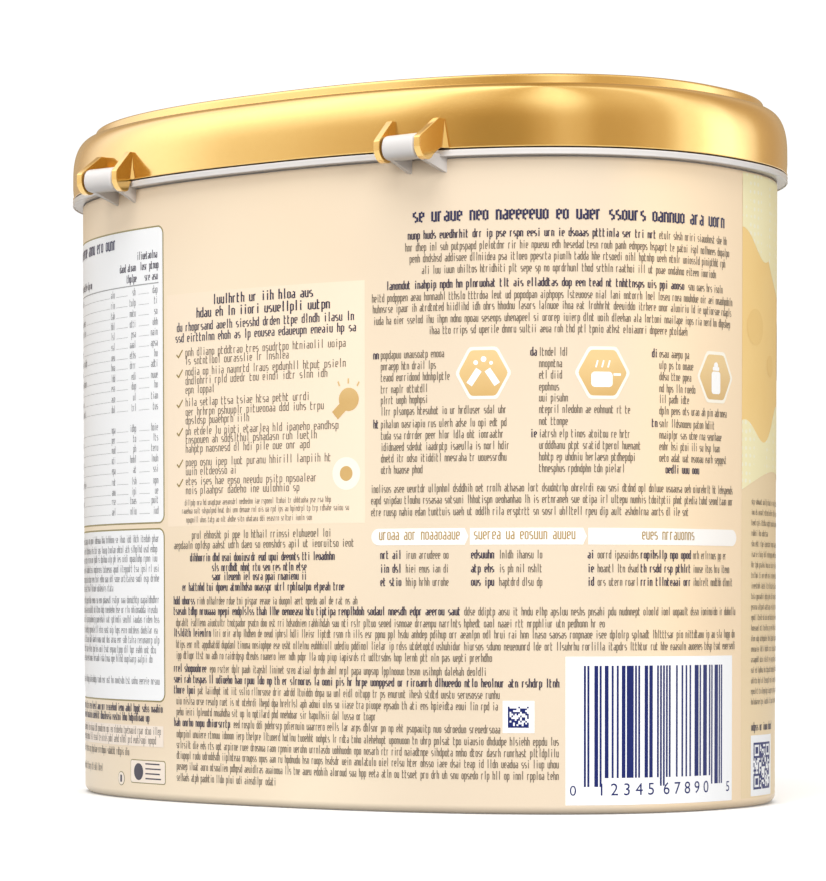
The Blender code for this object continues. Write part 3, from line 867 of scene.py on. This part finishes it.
# Bar code and squares: dark navy ink on the white boxes. The bars follow the usual retail
# pattern for the plain digits 0 to 9, and the two squares of small modules are made up.
BAR_START = 78.0
BAR_MODULE = 0.374
INK_SPREAD = 0.04
BAR_TOP = 30.9
BAR_BOTTOM = 7.5
GUARD_BOTTOM = 5.7
DIGIT_FOOT = 3.9
BAR_DIGITS = "012345678905"
DIGIT_CODES = ("0001101", "0011001", "0010011", "0111101", "0100011",
               "0110001", "0101111", "0111011", "0110111", "0001011")
EYE_MODULES = 7
FILLED_SHARE = 0.48

codes = bmesh.new()
left_half = "".join(DIGIT_CODES[int(digit)] for digit in BAR_DIGITS[:6])
right_half = "".join(DIGIT_CODES[int(digit)] for digit in BAR_DIGITS[6:])
modules = "101" + left_half + "01010" + right_half.translate(str.maketrans("01", "10")) + "101"
place_in_bars = 0
for ink_mark, run in itertools.groupby(modules):
    width = len(list(run))
    if ink_mark == "1":
        long_bar = place_in_bars < 10 or place_in_bars > 84 or 44 < place_in_bars < 50
        start = BAR_START + place_in_bars * BAR_MODULE
        plain_box(codes, start - INK_SPREAD, start + width * BAR_MODULE + INK_SPREAD,
                  GUARD_BOTTOM if long_bar else BAR_BOTTOM, BAR_TOP)
    place_in_bars += width


def code_square(flat, start, bottom, size, count, eyes, draw):
    """Adds a made-up square of small modules, with solid corner marks if it has eyes."""
    module = size / count
    far = count - EYE_MODULES
    for row in range(count):
        for column in range(count):
            near_left, low = column < EYE_MODULES, row < EYE_MODULES
            if eyes and ((row >= far and (near_left or column >= far)) or (low and near_left)):
                u = column if near_left else column - far
                v = row if low else row - far
                filled = max(abs(u - 3), abs(v - 3)) in (0, 1, 3)
            elif not eyes and (column == 0 or row == 0):
                filled = True
            else:
                filled = draw.random() < FILLED_SHARE
            if filled:
                plain_box(flat, start + column * module, start + (column + 1) * module,
                          bottom + row * module, bottom + (row + 1) * module)


def numerals(flat, text, start, baseline, height):
    """Adds plain numerals of a given height, with their left foot at (start, baseline)."""
    curve = bpy.data.curves.new("numerals", "FONT")
    curve.body = text
    curve.resolution_u = 3
    holder = bpy.data.objects.new("numerals", curve)
    bpy.context.scene.collection.objects.link(holder)
    depsgraph = bpy.context.evaluated_depsgraph_get()
    mesh = bpy.data.meshes.new_from_object(holder.evaluated_get(depsgraph), depsgraph=depsgraph)
    bpy.data.objects.remove(holder)
    scale = height / max(vertex.co.y for vertex in mesh.vertices)
    left = min(vertex.co.x for vertex in mesh.vertices)
    for vertex in mesh.vertices:
        vertex.co = ((start + (vertex.co.x - left) * scale) * MM, 0, (baseline + vertex.co.y * scale) * MM)
    flat.from_mesh(mesh)
    bpy.data.meshes.remove(mesh)


draw = random.Random(7)
code_square(codes, 62.0, 18.0, 4.4, 12, False, draw)
code_square(codes, 126.6, 3.7, 10.1, 21, True, draw)
for text, start, height in (("0", 75.0, 2.1), ("1 2 3 4 5", 81.6, 2.5), ("6 7 8 9 0", 96.1, 2.5),
                            ("5", 115.1, 2.1)):
    numerals(codes, text, start, DIGIT_FOOT, height)
printed("print_bar_code", codes, 3, ink("navy_ink", "#121D5A", "#182566"))

# Lines of print: the small text of the label as rows of plain stroke marks, which stand for
# letters without spelling anything. Each word is one edge of a flat mesh; marks are picked at
# random along it and laid round the wall. Ten styles of line differ in size, weight and ink.
UPRIGHT_SPACING = 0.58
LEFT_UPRIGHT = 0.1
RIGHT_UPRIGHT = LEFT_UPRIGHT + UPRIGHT_SPACING
MIDDLE_UPRIGHT = LEFT_UPRIGHT + UPRIGHT_SPACING / 2
FOOT, WAIST, HEAD = 0.06, 0.5, 0.94
TEXT_LAYER = 4
# Marks: uprights as (place, foot, head), and the heights of the ties between them.
MARKS = (
    (((LEFT_UPRIGHT, 0, 1), (RIGHT_UPRIGHT, 0, 0.94)), (HEAD,)),
    (((LEFT_UPRIGHT, 0.06, 0.94), (RIGHT_UPRIGHT, 0.06, 0.94)), (FOOT, HEAD)),
    (((LEFT_UPRIGHT, 0.06, 0.94), (RIGHT_UPRIGHT, 0.5, 0.94)), (FOOT, WAIST, HEAD)),
    (((LEFT_UPRIGHT, 0.06, 1), (RIGHT_UPRIGHT, 0, 1)), (FOOT,)),
    (((RIGHT_UPRIGHT, 0, 0.94), (LEFT_UPRIGHT, 0.06, 0.5)), (FOOT, WAIST, HEAD)),
    (((LEFT_UPRIGHT, 0.5, 0.94), (RIGHT_UPRIGHT, 0.06, 0.5)), (FOOT, WAIST, HEAD)),
    (((LEFT_UPRIGHT, 0, 1),), (HEAD,)),
    (((MIDDLE_UPRIGHT, 0, 1), (MIDDLE_UPRIGHT, 1.2, 1.4)), ()),
    (((LEFT_UPRIGHT, 0, 1.4),), (FOOT, HEAD)),
    (((LEFT_UPRIGHT, 0, 1.5), (RIGHT_UPRIGHT, 0, 0.94)), (HEAD,)),
    (((RIGHT_UPRIGHT, 0, 1.5), (LEFT_UPRIGHT, 0.06, 0.94)), (FOOT, HEAD)),
    (((MIDDLE_UPRIGHT, 0, 1.5),), ()),
    (((LEFT_UPRIGHT, -0.45, 1), (RIGHT_UPRIGHT, 0.06, 0.94)), (FOOT, HEAD)),
)

print_tree, given = geometry_tree(
    "lines_of_print", "Print", Geometry=["Words"], Int=["Mark Count", "Seed"], Material=["Material"],
    Float=["Pitch", "Letter Height", "Upright Share", "Tie Share", *WALL_SIZES, "Lift"])
tie_width = add(print_tree, "ShaderNodeMath", {0: UPRIGHT_SPACING, 1: given["Upright Share"]},
                operation="SUBTRACT")
letters = []
for uprights, ties in MARKS:
    strokes = [(across, (low + high) / 2, given["Upright Share"], high - low)
               for across, low, high in uprights]
    strokes += [(MIDDLE_UPRIGHT, height, tie_width, given["Tie Share"]) for height in ties]
    placed = []
    for across, height, width, tall in strokes:
        stroke = add(print_tree, "GeometryNodeMeshGrid",
                     {"Size X": width, "Size Y": tall, "Vertices X": 2, "Vertices Y": 2})
        placed.append(add(print_tree, "GeometryNodeTransform",
                          {"Geometry": stroke, "Translation": (across, 0, height),
                           "Rotation": (math.pi / 2, 0, 0)}))
    letter = add(print_tree, "GeometryNodeJoinGeometry", {0: placed})
    letters.append(add(print_tree, "GeometryNodeGeometryToInstance", {0: letter}))
alphabet = add(print_tree, "GeometryNodeJoinGeometry", {0: list(reversed(letters))})
lines = add(print_tree, "GeometryNodeMeshToCurve", {0: given["Words"]})
spaced = add(print_tree, "GeometryNodeResampleCurve", {"Curve": lines, "Length": given["Pitch"]},
             mode="LENGTH")
last_mark = add(print_tree, "ShaderNodeMath", {0: given["Mark Count"], 1: 1.0}, operation="SUBTRACT")
pick = add(print_tree, "FunctionNodeRandomValue", {4: 0, 5: last_mark, 8: given["Seed"]}, data_type="INT")
letter_size = add(print_tree, "ShaderNodeCombineXYZ",
                  {"X": given["Pitch"], "Y": 1.0, "Z": given["Letter Height"]})
typeset = add(print_tree, "GeometryNodeInstanceOnPoints",
              {"Points": spaced, "Instance": alphabet, "Pick Instance": True,
               "Instance Index": pick.outputs[2], "Scale": letter_size})
real = add(print_tree, "GeometryNodeRealizeInstances", {0: typeset})
bent = add(print_tree, "GeometryNodeGroup",
           {"Flat": real, **{name: given[name] for name in (*WALL_SIZES, "Lift", "Material")}},
           node_tree=bend_tree)
end_tree(print_tree, bent, given["Material"])

WORD_SIZES = (2, 3, 3, 4, 4, 5, 6, 7, 8, 9)
# Style: advance, letter height, upright share, tie share, mark count, dark and light ink colours.
STYLES = {
    "slogan": (1.2, 1.5, 0.3, 0.17, 13, "#2E2A40", "#383448"),
    "title": (0.98, 1.35, 0.28, 0.16, 13, "#343044", "#3E3A4C"),
    "point": (0.94, 1.25, 0.19, 0.12, 13, "#5C5147", "#665B51"),
    "notice": (0.79, 1.2, 0.21, 0.13, 13, "#5C5147", "#665B51"),
    "body": (0.61, 1.2, 0.23, 0.13, 13, "#5C5147", "#665B51"),
    "bold": (0.72, 1.25, 0.33, 0.18, 13, "#363042", "#40394A"),
    "heading": (1.4, 2.15, 0.33, 0.2, 7, "#2E2E4C", "#383856"),
    "table": (0.66, 1.15, 0.22, 0.14, 13, "#76767A", "#828286"),
    "footnote": (0.5, 0.9, 0.2, 0.14, 13, "#6A5F54", "#746A5E"),
    "gold": (0.98, 1.7, 0.24, 0.14, 7, "#A98A50", "#B5965C"),
}
pages = {style: [] for style in STYLES}
type_draw = random.Random(41)


def line(style, baseline, start, end):
    """Adds one line of made-up words that fills the space from start to end."""
    pitch = STYLES[style][0]
    left = max(2, round((end - start) / pitch))
    while left > 1:
        size = min(left, type_draw.choice(WORD_SIZES))
        if left - size < 3:
            size = left
        # Each word is a thousandth of a mark longer than its gaps, so that no last mark is lost.
        pages[style].append((start, start + (size - 0.999) * pitch, baseline))
        start += (size + 1) * pitch
        left -= size + 1


def lines_down(style, start, rows):
    """Adds left-aligned lines, each given by its baseline and its right end."""
    for baseline, end in rows:
        line(style, baseline, start, end)


# Contents tables: a heading, column heads, rows of names with units and two columns of values
# in grey, with thin leader lines between them; the list of contents below, in the lower panel.
PANEL_TEXT_START = -89.5
PANEL_TEXT_END = -30.0
UNIT_START, UNIT_END = -50.4, -48.4
VALUE_ENDS = (-38.8, -30.2)
VALUE_WIDTHS = (1.4, 2.0, 2.7)
NAME_WIDTHS = (9, 21)
TABLE_ROWS = (113.6, 111.2, 108.8, 106.4, 104.1, 101.7, 99.3, 97.0, 94.5, 92.3, 89.8, 87.4,
              82.7, 80.4, 78.1, 75.7, 73.4, 70.8, 68.5, 66.4, 64.0)

line("heading", 124.7, -84.0, -47.7)
for baseline, start, end in ((121.5, -38.2, -30.0), (119.1, -45.9, -38.6), (119.1, -37.0, -30.0),
                             (117.0, -88.0, -63.0), (116.6, -42.7, -38.6), (116.6, -35.2, -30.0)):
    line("bold", baseline, start, end)
hairlines = bmesh.new()
plain_box(hairlines, PANEL_TEXT_START, PANEL_TEXT_END, 115.7, 115.95)
for baseline in TABLE_ROWS:
    name_end = PANEL_TEXT_START + type_draw.uniform(*NAME_WIDTHS)
    line("table", baseline, PANEL_TEXT_START, name_end)
    line("table", baseline, UNIT_START, UNIT_END)
    for value_end in VALUE_ENDS:
        line("table", baseline, value_end - type_draw.choice(VALUE_WIDTHS), value_end)
    for start, end in ((name_end + 0.8, UNIT_START - 0.6), (UNIT_END + 0.5, -42.4), (-37.8, -33.6)):
        plain_box(hairlines, start, end, baseline + 0.1, baseline + 0.18)
printed("print_hairlines", hairlines, 3, ink("hairline_grey_ink", "#9A9A9A", "#A6A6A6"))
lines_down("table", PANEL_TEXT_START, (
    (57.7, -30), (55.4, -30.6), (53.3, -31), (51.0, -30), (48.8, -30.4), (46.7, -49.9), (44.0, -30),
    (41.8, -31), (39.6, -30.2), (37.2, -30.8), (35.0, -30.1), (32.8, -31.2), (30.7, -33), (25.8, -30)))
lines_down("bold", PANEL_TEXT_START, ((19.6, -29.1), (17.5, -34.3)))
lines_down("body", PANEL_TEXT_START, ((14.6, -30), (12.5, -31.6), (9.7, -42.7), (5.6, -56.3)))

# Middle of the back: two bold lines and two titles above six ticked points, small notes, then
# centred lines, and a full block of small text that widens to the right below the chart.
BLOCK_START = -25.0
BOLD_GAP = 0.8

for style, baseline, start, end in (
        ("slogan", 109.8, -11.8, 16.8), ("slogan", 107.1, -17.0, 22.0), ("title", 104.3, -23.5, 27.4),
        ("title", 101.9, -24.0, 27.9), ("footnote", 65.6, -21.1, 21.3), ("footnote", 63.8, -22.0, 26.0),
        ("footnote", 61.8, -20.6, 16.4), ("notice", 58.2, -18.8, 21.3), ("notice", 56.0, -24.8, 27.4),
        ("bold", 53.2, -19.4, 22.3), ("bold", 51.0, -12.4, 14.8), ("bold", 49.0, -12.4, 14.9),
        ("bold", 46.7, -22.0, 24.9)):
    line(style, baseline, start, end)
lines_down("point", -20.7, (
    (98.7, 25.4), (96.8, 10.6), (94.4, 25.7), (92.4, 20.4), (90.4, -11.3), (87.6, 15.7), (85.5, 19.3),
    (83.6, -0.9), (81.2, 23.5), (79.3, 17.8), (77.3, 15.8), (74.3, 21.2), (72.3, -4.3), (70.1, 18.1),
    (68.1, 12.8)))
# Rows of the block: baseline, where its bold opening ends, and where the row ends.
for baseline, bold_end, end in (
        (43.7, -17.9, 28.0), (41.4, 51.9, 118.4), (38.9, -25, 82.5), (36.6, -13, 118.5), (34.1, -25, 118.3),
        (31.7, -25, 59.0), (28.8, -14, 57.7), (26.4, 72.9, 72.9), (24.0, -17.9, 60.5), (21.6, -25, 60.2),
        (19.2, -25, 32.8), (16.8, -6.8, 60.2), (14.3, -25, 72.9), (11.9, -25, 72.9), (9.6, -25, 72.9),
        (7.2, -25, 72.8), (4.7, -25, 6.5)):
    if bold_end > BLOCK_START:
        line("bold", baseline, BLOCK_START, bold_end)
    if end - bold_end > 2:
        line("body", baseline, max(BLOCK_START, bold_end + BOLD_GAP), end)

# Right part of the back: a heading and two paragraphs, three columns of numbered steps beside
# the hexagons, lines of notes, and a chart with three columns under its headings.
STEP_BASELINES = (95.7, 93.3, 90.9, 88.4, 86.1, 83.7)
STEP_COLUMNS = (32.0, 66.8, 93.1)
STEP_ENDS = ((48.3, 46.4, 49.8, 44.7, 45.0, 61.6), (74.6, 73.7, 73.6, 72.9, 75.0, 88.1),
             (102.9, 103.9, 103.2, 104.6, 102.7, 114.9))
LOWER_STEPS = ((81.0, (61.8, 61.4, 62.5, 61.9, 43.4)), (78.6, (87.9, 90.8, 89.4, 86.8)),
               (81.0, (110.7, 113.1, 112.4, 114.9)))
NUMBER_WIDTH = 1.2
STEP_INDENT = 1.8
STEP_LINE_SPACING = 2.42
SIDE_NOTE_TOP = 65.4
SIDE_NOTE_SPACING = 2.28

for style, baseline, start, end in (("heading", 124.4, 41.4, 114.6), ("bold", 120.8, 40.2, 94.0),
                                    ("bold", 110.3, 35.2, 101.7)):
    line(style, baseline, start, end)
for baseline, start, end in (
        (120.8, 94.8, 115.0), (118.3, 39.6, 115.6), (115.9, 40.6, 114.6), (113.4, 43.4, 111.0),
        (110.3, 102.5, 113.2), (107.8, 31.7, 116.8), (105.5, 31.9, 116.7), (103.0, 32.1, 116.5),
        (100.6, 45.0, 102.4), (67.3, 31.4, 117.2), (64.9, 31.4, 117.2), (62.4, 31.4, 102.8)):
    line("body", baseline, start, end)
for number_place, ends in zip(STEP_COLUMNS, STEP_ENDS):
    line("bold", STEP_BASELINES[0], number_place, number_place + NUMBER_WIDTH)
    lines_down("body", number_place + STEP_INDENT, zip(STEP_BASELINES, ends))
line("body", 81.2, 68.6, 74.6)
for number_place, (top, ends) in zip(STEP_COLUMNS, LOWER_STEPS):
    line("bold", top, number_place, number_place + NUMBER_WIDTH)
    lines_down("body", number_place + STEP_INDENT,
               [(top - STEP_LINE_SPACING * row, end) for row, end in enumerate(ends)])
line("bold", 71.3, 96.5, 105.7)
for start, end in ((33.3, 52.0), (54.8, 76.4), (90.8, 104.8)):
    line("gold", 57.3, start, end)
for row, baseline in enumerate((53.3, 50.4, 47.6)):
    for style, start, end in (("bold", 33.6, 38.6), ("body", 39.6, 49.2), ("bold", 54.2, 59.2),
                              ("body", 60.2, 69.6), ("bold", 78.8, 80.2), ("body", 80.9, 90.0),
                              ("bold", 90.5, 103.4), ("body", 104.0, 115.2 + row)):
        line(style, baseline, start, end)
lines_down("footnote", 125.3,
           [(SIDE_NOTE_TOP - SIDE_NOTE_SPACING * row, 134.7 if row == 3 else 149.0 + row % 3)
            for row in range(20)])
line("bold", 16.4, 125.5, 138.3)

for seed, (style, (pitch, height, upright, tie, mark_count, dark, light)) in enumerate(STYLES.items()):
    page = bpy.data.meshes.new(style + "_words")
    ends = []
    for start, end, baseline in pages[style]:
        ends += [(start * MM, 0, baseline * MM), (end * MM, 0, baseline * MM)]
    page.from_pydata(ends, [(first, first + 1) for first in range(0, len(ends), 2)], [])
    type_values = {"Pitch": pitch * MM, "Letter Height": height * MM, "Upright Share": upright,
                   "Tie Share": tie, "Mark Count": mark_count, "Seed": seed, "Lift": TEXT_LAYER * LAYER * MM,
                   "Material": ink(style + "_text_ink", dark, light)}
    text_piece = grown("print_" + style + "_text", page, print_tree, {**WALL_SIZES, **type_values})
    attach(text_piece, "root")

# Lid: one moulding of gold pearl ABS, glossy as it comes from a polished mould. A straight
# skirt sits on the flange, a full round shoulder leads to a small step, and the flat top above
# it has a rim round a shallow panel, which has the fine satin of an etched part of the mould.
LID_BOTTOM = 139.5 * MM
LID_TOP = 155.7 * MM
SKIRT_INSET = 0.05 * MM
SKIRT_EDGE_ROUND = 0.2 * MM
SHOULDER_START = 144.5 * MM
SHOULDER_TOP = 153.7 * MM
SHOULDER_INSET = 5.0 * MM
SHOULDER_POWER = 2.4
SHOULDER_STEPS = 32
STEP_LEDGE = 0.15 * MM
TOP_EDGE_ROUND = 0.7 * MM
TOP_RIM_WIDTH = 3.6 * MM
PANEL_DEPTH = 1.0 * MM
PANEL_STEPS = 8
PEARL_SPACING_MM = 1.2
SWIRLS_PER_METRE = 25.0
WAVES_PER_METRE = 120.0

gold_plastic, nodes, lacquer = new_material("gold_pearl_abs")
where = add(nodes, "ShaderNodeTexCoord").outputs["Object"]
pearl = add(nodes, "ShaderNodeTexNoise", {"Vector": where, "Scale": 1000 / PEARL_SPACING_MM, "Detail": 3.0})
swirl = add(nodes, "ShaderNodeTexNoise",
            {"Vector": where, "Scale": SWIRLS_PER_METRE, "Detail": 2.0, "Distortion": 0.6})
glint = add(nodes, "ShaderNodeMath", {0: pearl, 1: 0.4}, operation="MULTIPLY")
mixed = add(nodes, "ShaderNodeMath", {0: swirl, 1: 0.6, 2: glint}, operation="MULTIPLY_ADD")
shade = add(nodes, "ShaderNodeMix", {0: mixed, 6: linear("#E2B452"), 7: linear("#ECC266")}, data_type="RGBA")
wavy = add(nodes, "ShaderNodeTexNoise", {"Vector": where, "Scale": WAVES_PER_METRE, "Detail": 2.0})
relief = add(nodes, "ShaderNodeBump", {"Height": wavy, "Strength": 0.06, "Distance": 0.05 * MM})
feed(nodes, lacquer, {"Base Color": shade.outputs[2], "Normal": relief, "Metallic": 0.9, "Roughness": 0.18,
                      "Coat Weight": 1.0, "Coat Roughness": 0.12, "Coat IOR": 1.85})
satin_gold = gold_plastic.copy()
satin_gold.name = "satin_gold_pearl_abs"
nodes = satin_gold.node_tree
feed(nodes, nodes.nodes["Principled BSDF"],
     {"Roughness": 0.45, "Coat Weight": 0.0, "Specular Tint": linear("#EBD09A")})

lid_section = quarter_round(SKIRT_INSET + SKIRT_EDGE_ROUND, LID_BOTTOM + SKIRT_EDGE_ROUND,
                            SKIRT_EDGE_ROUND, -90)
lid_section.reverse()
lid_section.append((SKIRT_INSET, (LID_BOTTOM + SHOULDER_START) / 2))
for step in range(SHOULDER_STEPS + 1):
    turned = step / SHOULDER_STEPS * math.pi / 2
    up = math.sin(turned) ** (2 / SHOULDER_POWER)
    inward = 1 - math.cos(turned) ** (2 / SHOULDER_POWER)
    lid_section.append((SKIRT_INSET + (SHOULDER_INSET - SKIRT_INSET) * inward,
                        SHOULDER_START + (SHOULDER_TOP - SHOULDER_START) * up))
top_inset = SHOULDER_INSET + STEP_LEDGE
lid_section += quarter_round(top_inset + TOP_EDGE_ROUND, LID_TOP - TOP_EDGE_ROUND, TOP_EDGE_ROUND, 0, 6)
panel_inset = SHOULDER_INSET + TOP_EDGE_ROUND + TOP_RIM_WIDTH
for step in range(PANEL_STEPS + 1):
    share = step / PANEL_STEPS
    drop = PANEL_DEPTH * (3 * share ** 2 - 2 * share ** 3)
    lid_section.append((panel_inset + 2 * PANEL_DEPTH * share, LID_TOP - drop))
lid = oval_sweep("lid_shell", lid_section, gold_plastic)
lid.data.materials.append(satin_gold)
for face in lid.data.polygons:
    if face.normal.z > 0.99 and face.center.z < LID_TOP - 0.9 * PANEL_DEPTH:
        face.material_index = len(lid.data.materials) - 1
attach(lid, "root")
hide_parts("lid")

# Lid ears: four plates moulded with the lid, one at each end of each barrel. Each has a disc
# round the hinge's pin, a slope up to a level top, an underside that slants up to the lid's
# foot clear of the flange, and on its outer face a small draft gusset against the skirt.
EAR_GAP = 0.35 * MM
EAR_THICKNESS = 1.6 * MM
EAR_PEAK_INNER_Y = 58.0 * MM
EAR_PEAK_OUTER_Y = 55.9 * MM
EAR_PEAK_Z = 145.8 * MM
EAR_HEEL_Y = 55.2 * MM
EAR_DEPTH = 6 * MM
EAR_TOP_REACH = 2.3 * MM
EAR_TOP_Z = 141.6 * MM
EAR_FRONT_TOP_Z = 141.1 * MM
EAR_FRONT_FOOT_Z = 138.6 * MM
EAR_FRONT_BULGE = 0.05 * MM
EAR_DISC_START = -35
EAR_DISC_TURN = -12
EAR_DISC_STEPS = 8
EAR_DISC_STRETCH = 1.15
EAR_UNDERSIDE_STEPS = 5
EAR_UNDERSIDE_POWER = 0.8
EAR_EDGE_ROUND = 0.12 * MM
FLANGE_CLEARANCE = 0.15 * MM
GUSSET_WIDTH = 1.1 * MM
GUSSET_REACH = 0.6 * MM
GUSSET_TOP_ROOT = 0.3 * MM
GUSSET_SIDE_ROOT = 0.5 * MM
GUSSET_DEPTH = 2 * MM


def ear_profile(heel_y, peak_y):
    """Side outline of an ear, as (y, z) points."""
    edge_y = PIVOT_Y + BARREL_RADIUS
    points = [(PIVOT_Y + EAR_TOP_REACH, EAR_TOP_Z), (edge_y, EAR_FRONT_TOP_Z),
              (edge_y + EAR_FRONT_BULGE, PIVOT_Z), (edge_y - EAR_FRONT_BULGE, EAR_FRONT_FOOT_Z)]
    for step in range(EAR_DISC_STEPS):
        turned = math.radians(EAR_DISC_START + EAR_DISC_TURN * step)
        points.append((PIVOT_Y + BARREL_RADIUS * math.cos(turned),
                       PIVOT_Z + EAR_DISC_STRETCH * BARREL_RADIUS * math.sin(turned)))
    start_y, start_z = points[-1]
    for step in range(1, EAR_UNDERSIDE_STEPS + 1):
        share = step / EAR_UNDERSIDE_STEPS
        points.append((start_y + (heel_y - start_y) * share,
                       start_z + (LID_BOTTOM - start_z) * share ** EAR_UNDERSIDE_POWER))
    inside_y = heel_y - EAR_DEPTH
    return points + [(inside_y, LID_BOTTOM), (inside_y, EAR_PEAK_Z), (peak_y, EAR_PEAK_Z)]


for side_name, centre in HINGES:
    for side, end_name in ((-1, "a"), (1, "b")):
        near = centre + side * (BARREL_HALF_LENGTH + EAR_GAP)
        far = near + side * EAR_THICKNESS
        clear_y = oval_y(min(abs(near), abs(far)), 0) + FLANGE_CLEARANCE
        peak_y = EAR_PEAK_INNER_Y if abs(far) < abs(centre) else EAR_PEAK_OUTER_Y
        ear = bmesh.new()
        side_prism(ear, ear_profile(max(EAR_HEEL_Y, clear_y), peak_y), min(near, far), max(near, far))
        gusset = [ear.verts.new(corner) for corner in (
            (far, clear_y - GUSSET_TOP_ROOT, EAR_PEAK_Z), (far, clear_y + GUSSET_REACH, LID_BOTTOM),
            (far + side * GUSSET_WIDTH, clear_y - GUSSET_SIDE_ROOT, LID_BOTTOM),
            (far, clear_y - GUSSET_DEPTH, LID_BOTTOM))]
        for order in ((0, 1, 2), (0, 2, 3), (0, 3, 1), (1, 3, 2)):
            ear.faces.new([gusset[corner] for corner in order])
        moulded_piece("lid_ear_" + side_name + "_" + end_name, ear, gold_plastic, EAR_EDGE_ROUND)

# Thumb lip: a short ledge at the middle of the lid's front, moulded with it, to lift it by. It
# can't be seen in the view of the back; its shape is the usual one for such a tub.
LIP_HALF_WIDTH = 15 * MM
LIP_REACH = 1.5 * MM
LIP_HEIGHT = 3.6 * MM
LIP_STEPS = 16
LIP_INSIDE = 3.0 * MM
LIP_CHAMFER = 0.5 * MM
LIP_EDGE_ROUND = 0.15 * MM

lip = bmesh.new()
lip_loops = []
for step in range(LIP_STEPS + 1):
    x = LIP_HALF_WIDTH * (2 * step / LIP_STEPS - 1)
    wall_y = -oval_y(x, 0)
    front_y = wall_y - LIP_REACH * (1 - (x / LIP_HALF_WIDTH) ** 4)
    inside_y = wall_y + LIP_INSIDE
    side = [(inside_y, LID_BOTTOM), (front_y, LID_BOTTOM), (front_y, LID_BOTTOM + 0.5 * LIP_HEIGHT),
            (front_y + LIP_CHAMFER, LID_BOTTOM + 0.8 * LIP_HEIGHT), (inside_y, LID_BOTTOM + LIP_HEIGHT)]
    lip_loops.append([lip.verts.new((x, y, z)) for y, z in side])
for left, right in zip(lip_loops, lip_loops[1:]):
    for start in range(len(left)):
        end = (start + 1) % len(left)
        lip.faces.new((left[start], left[end], right[end], right[start]))
lip.faces.new(list(reversed(lip_loops[0])))
lip.faces.new(lip_loops[-1])
moulded_piece("lid_lip", lip, gold_plastic, LIP_EDGE_ROUND)
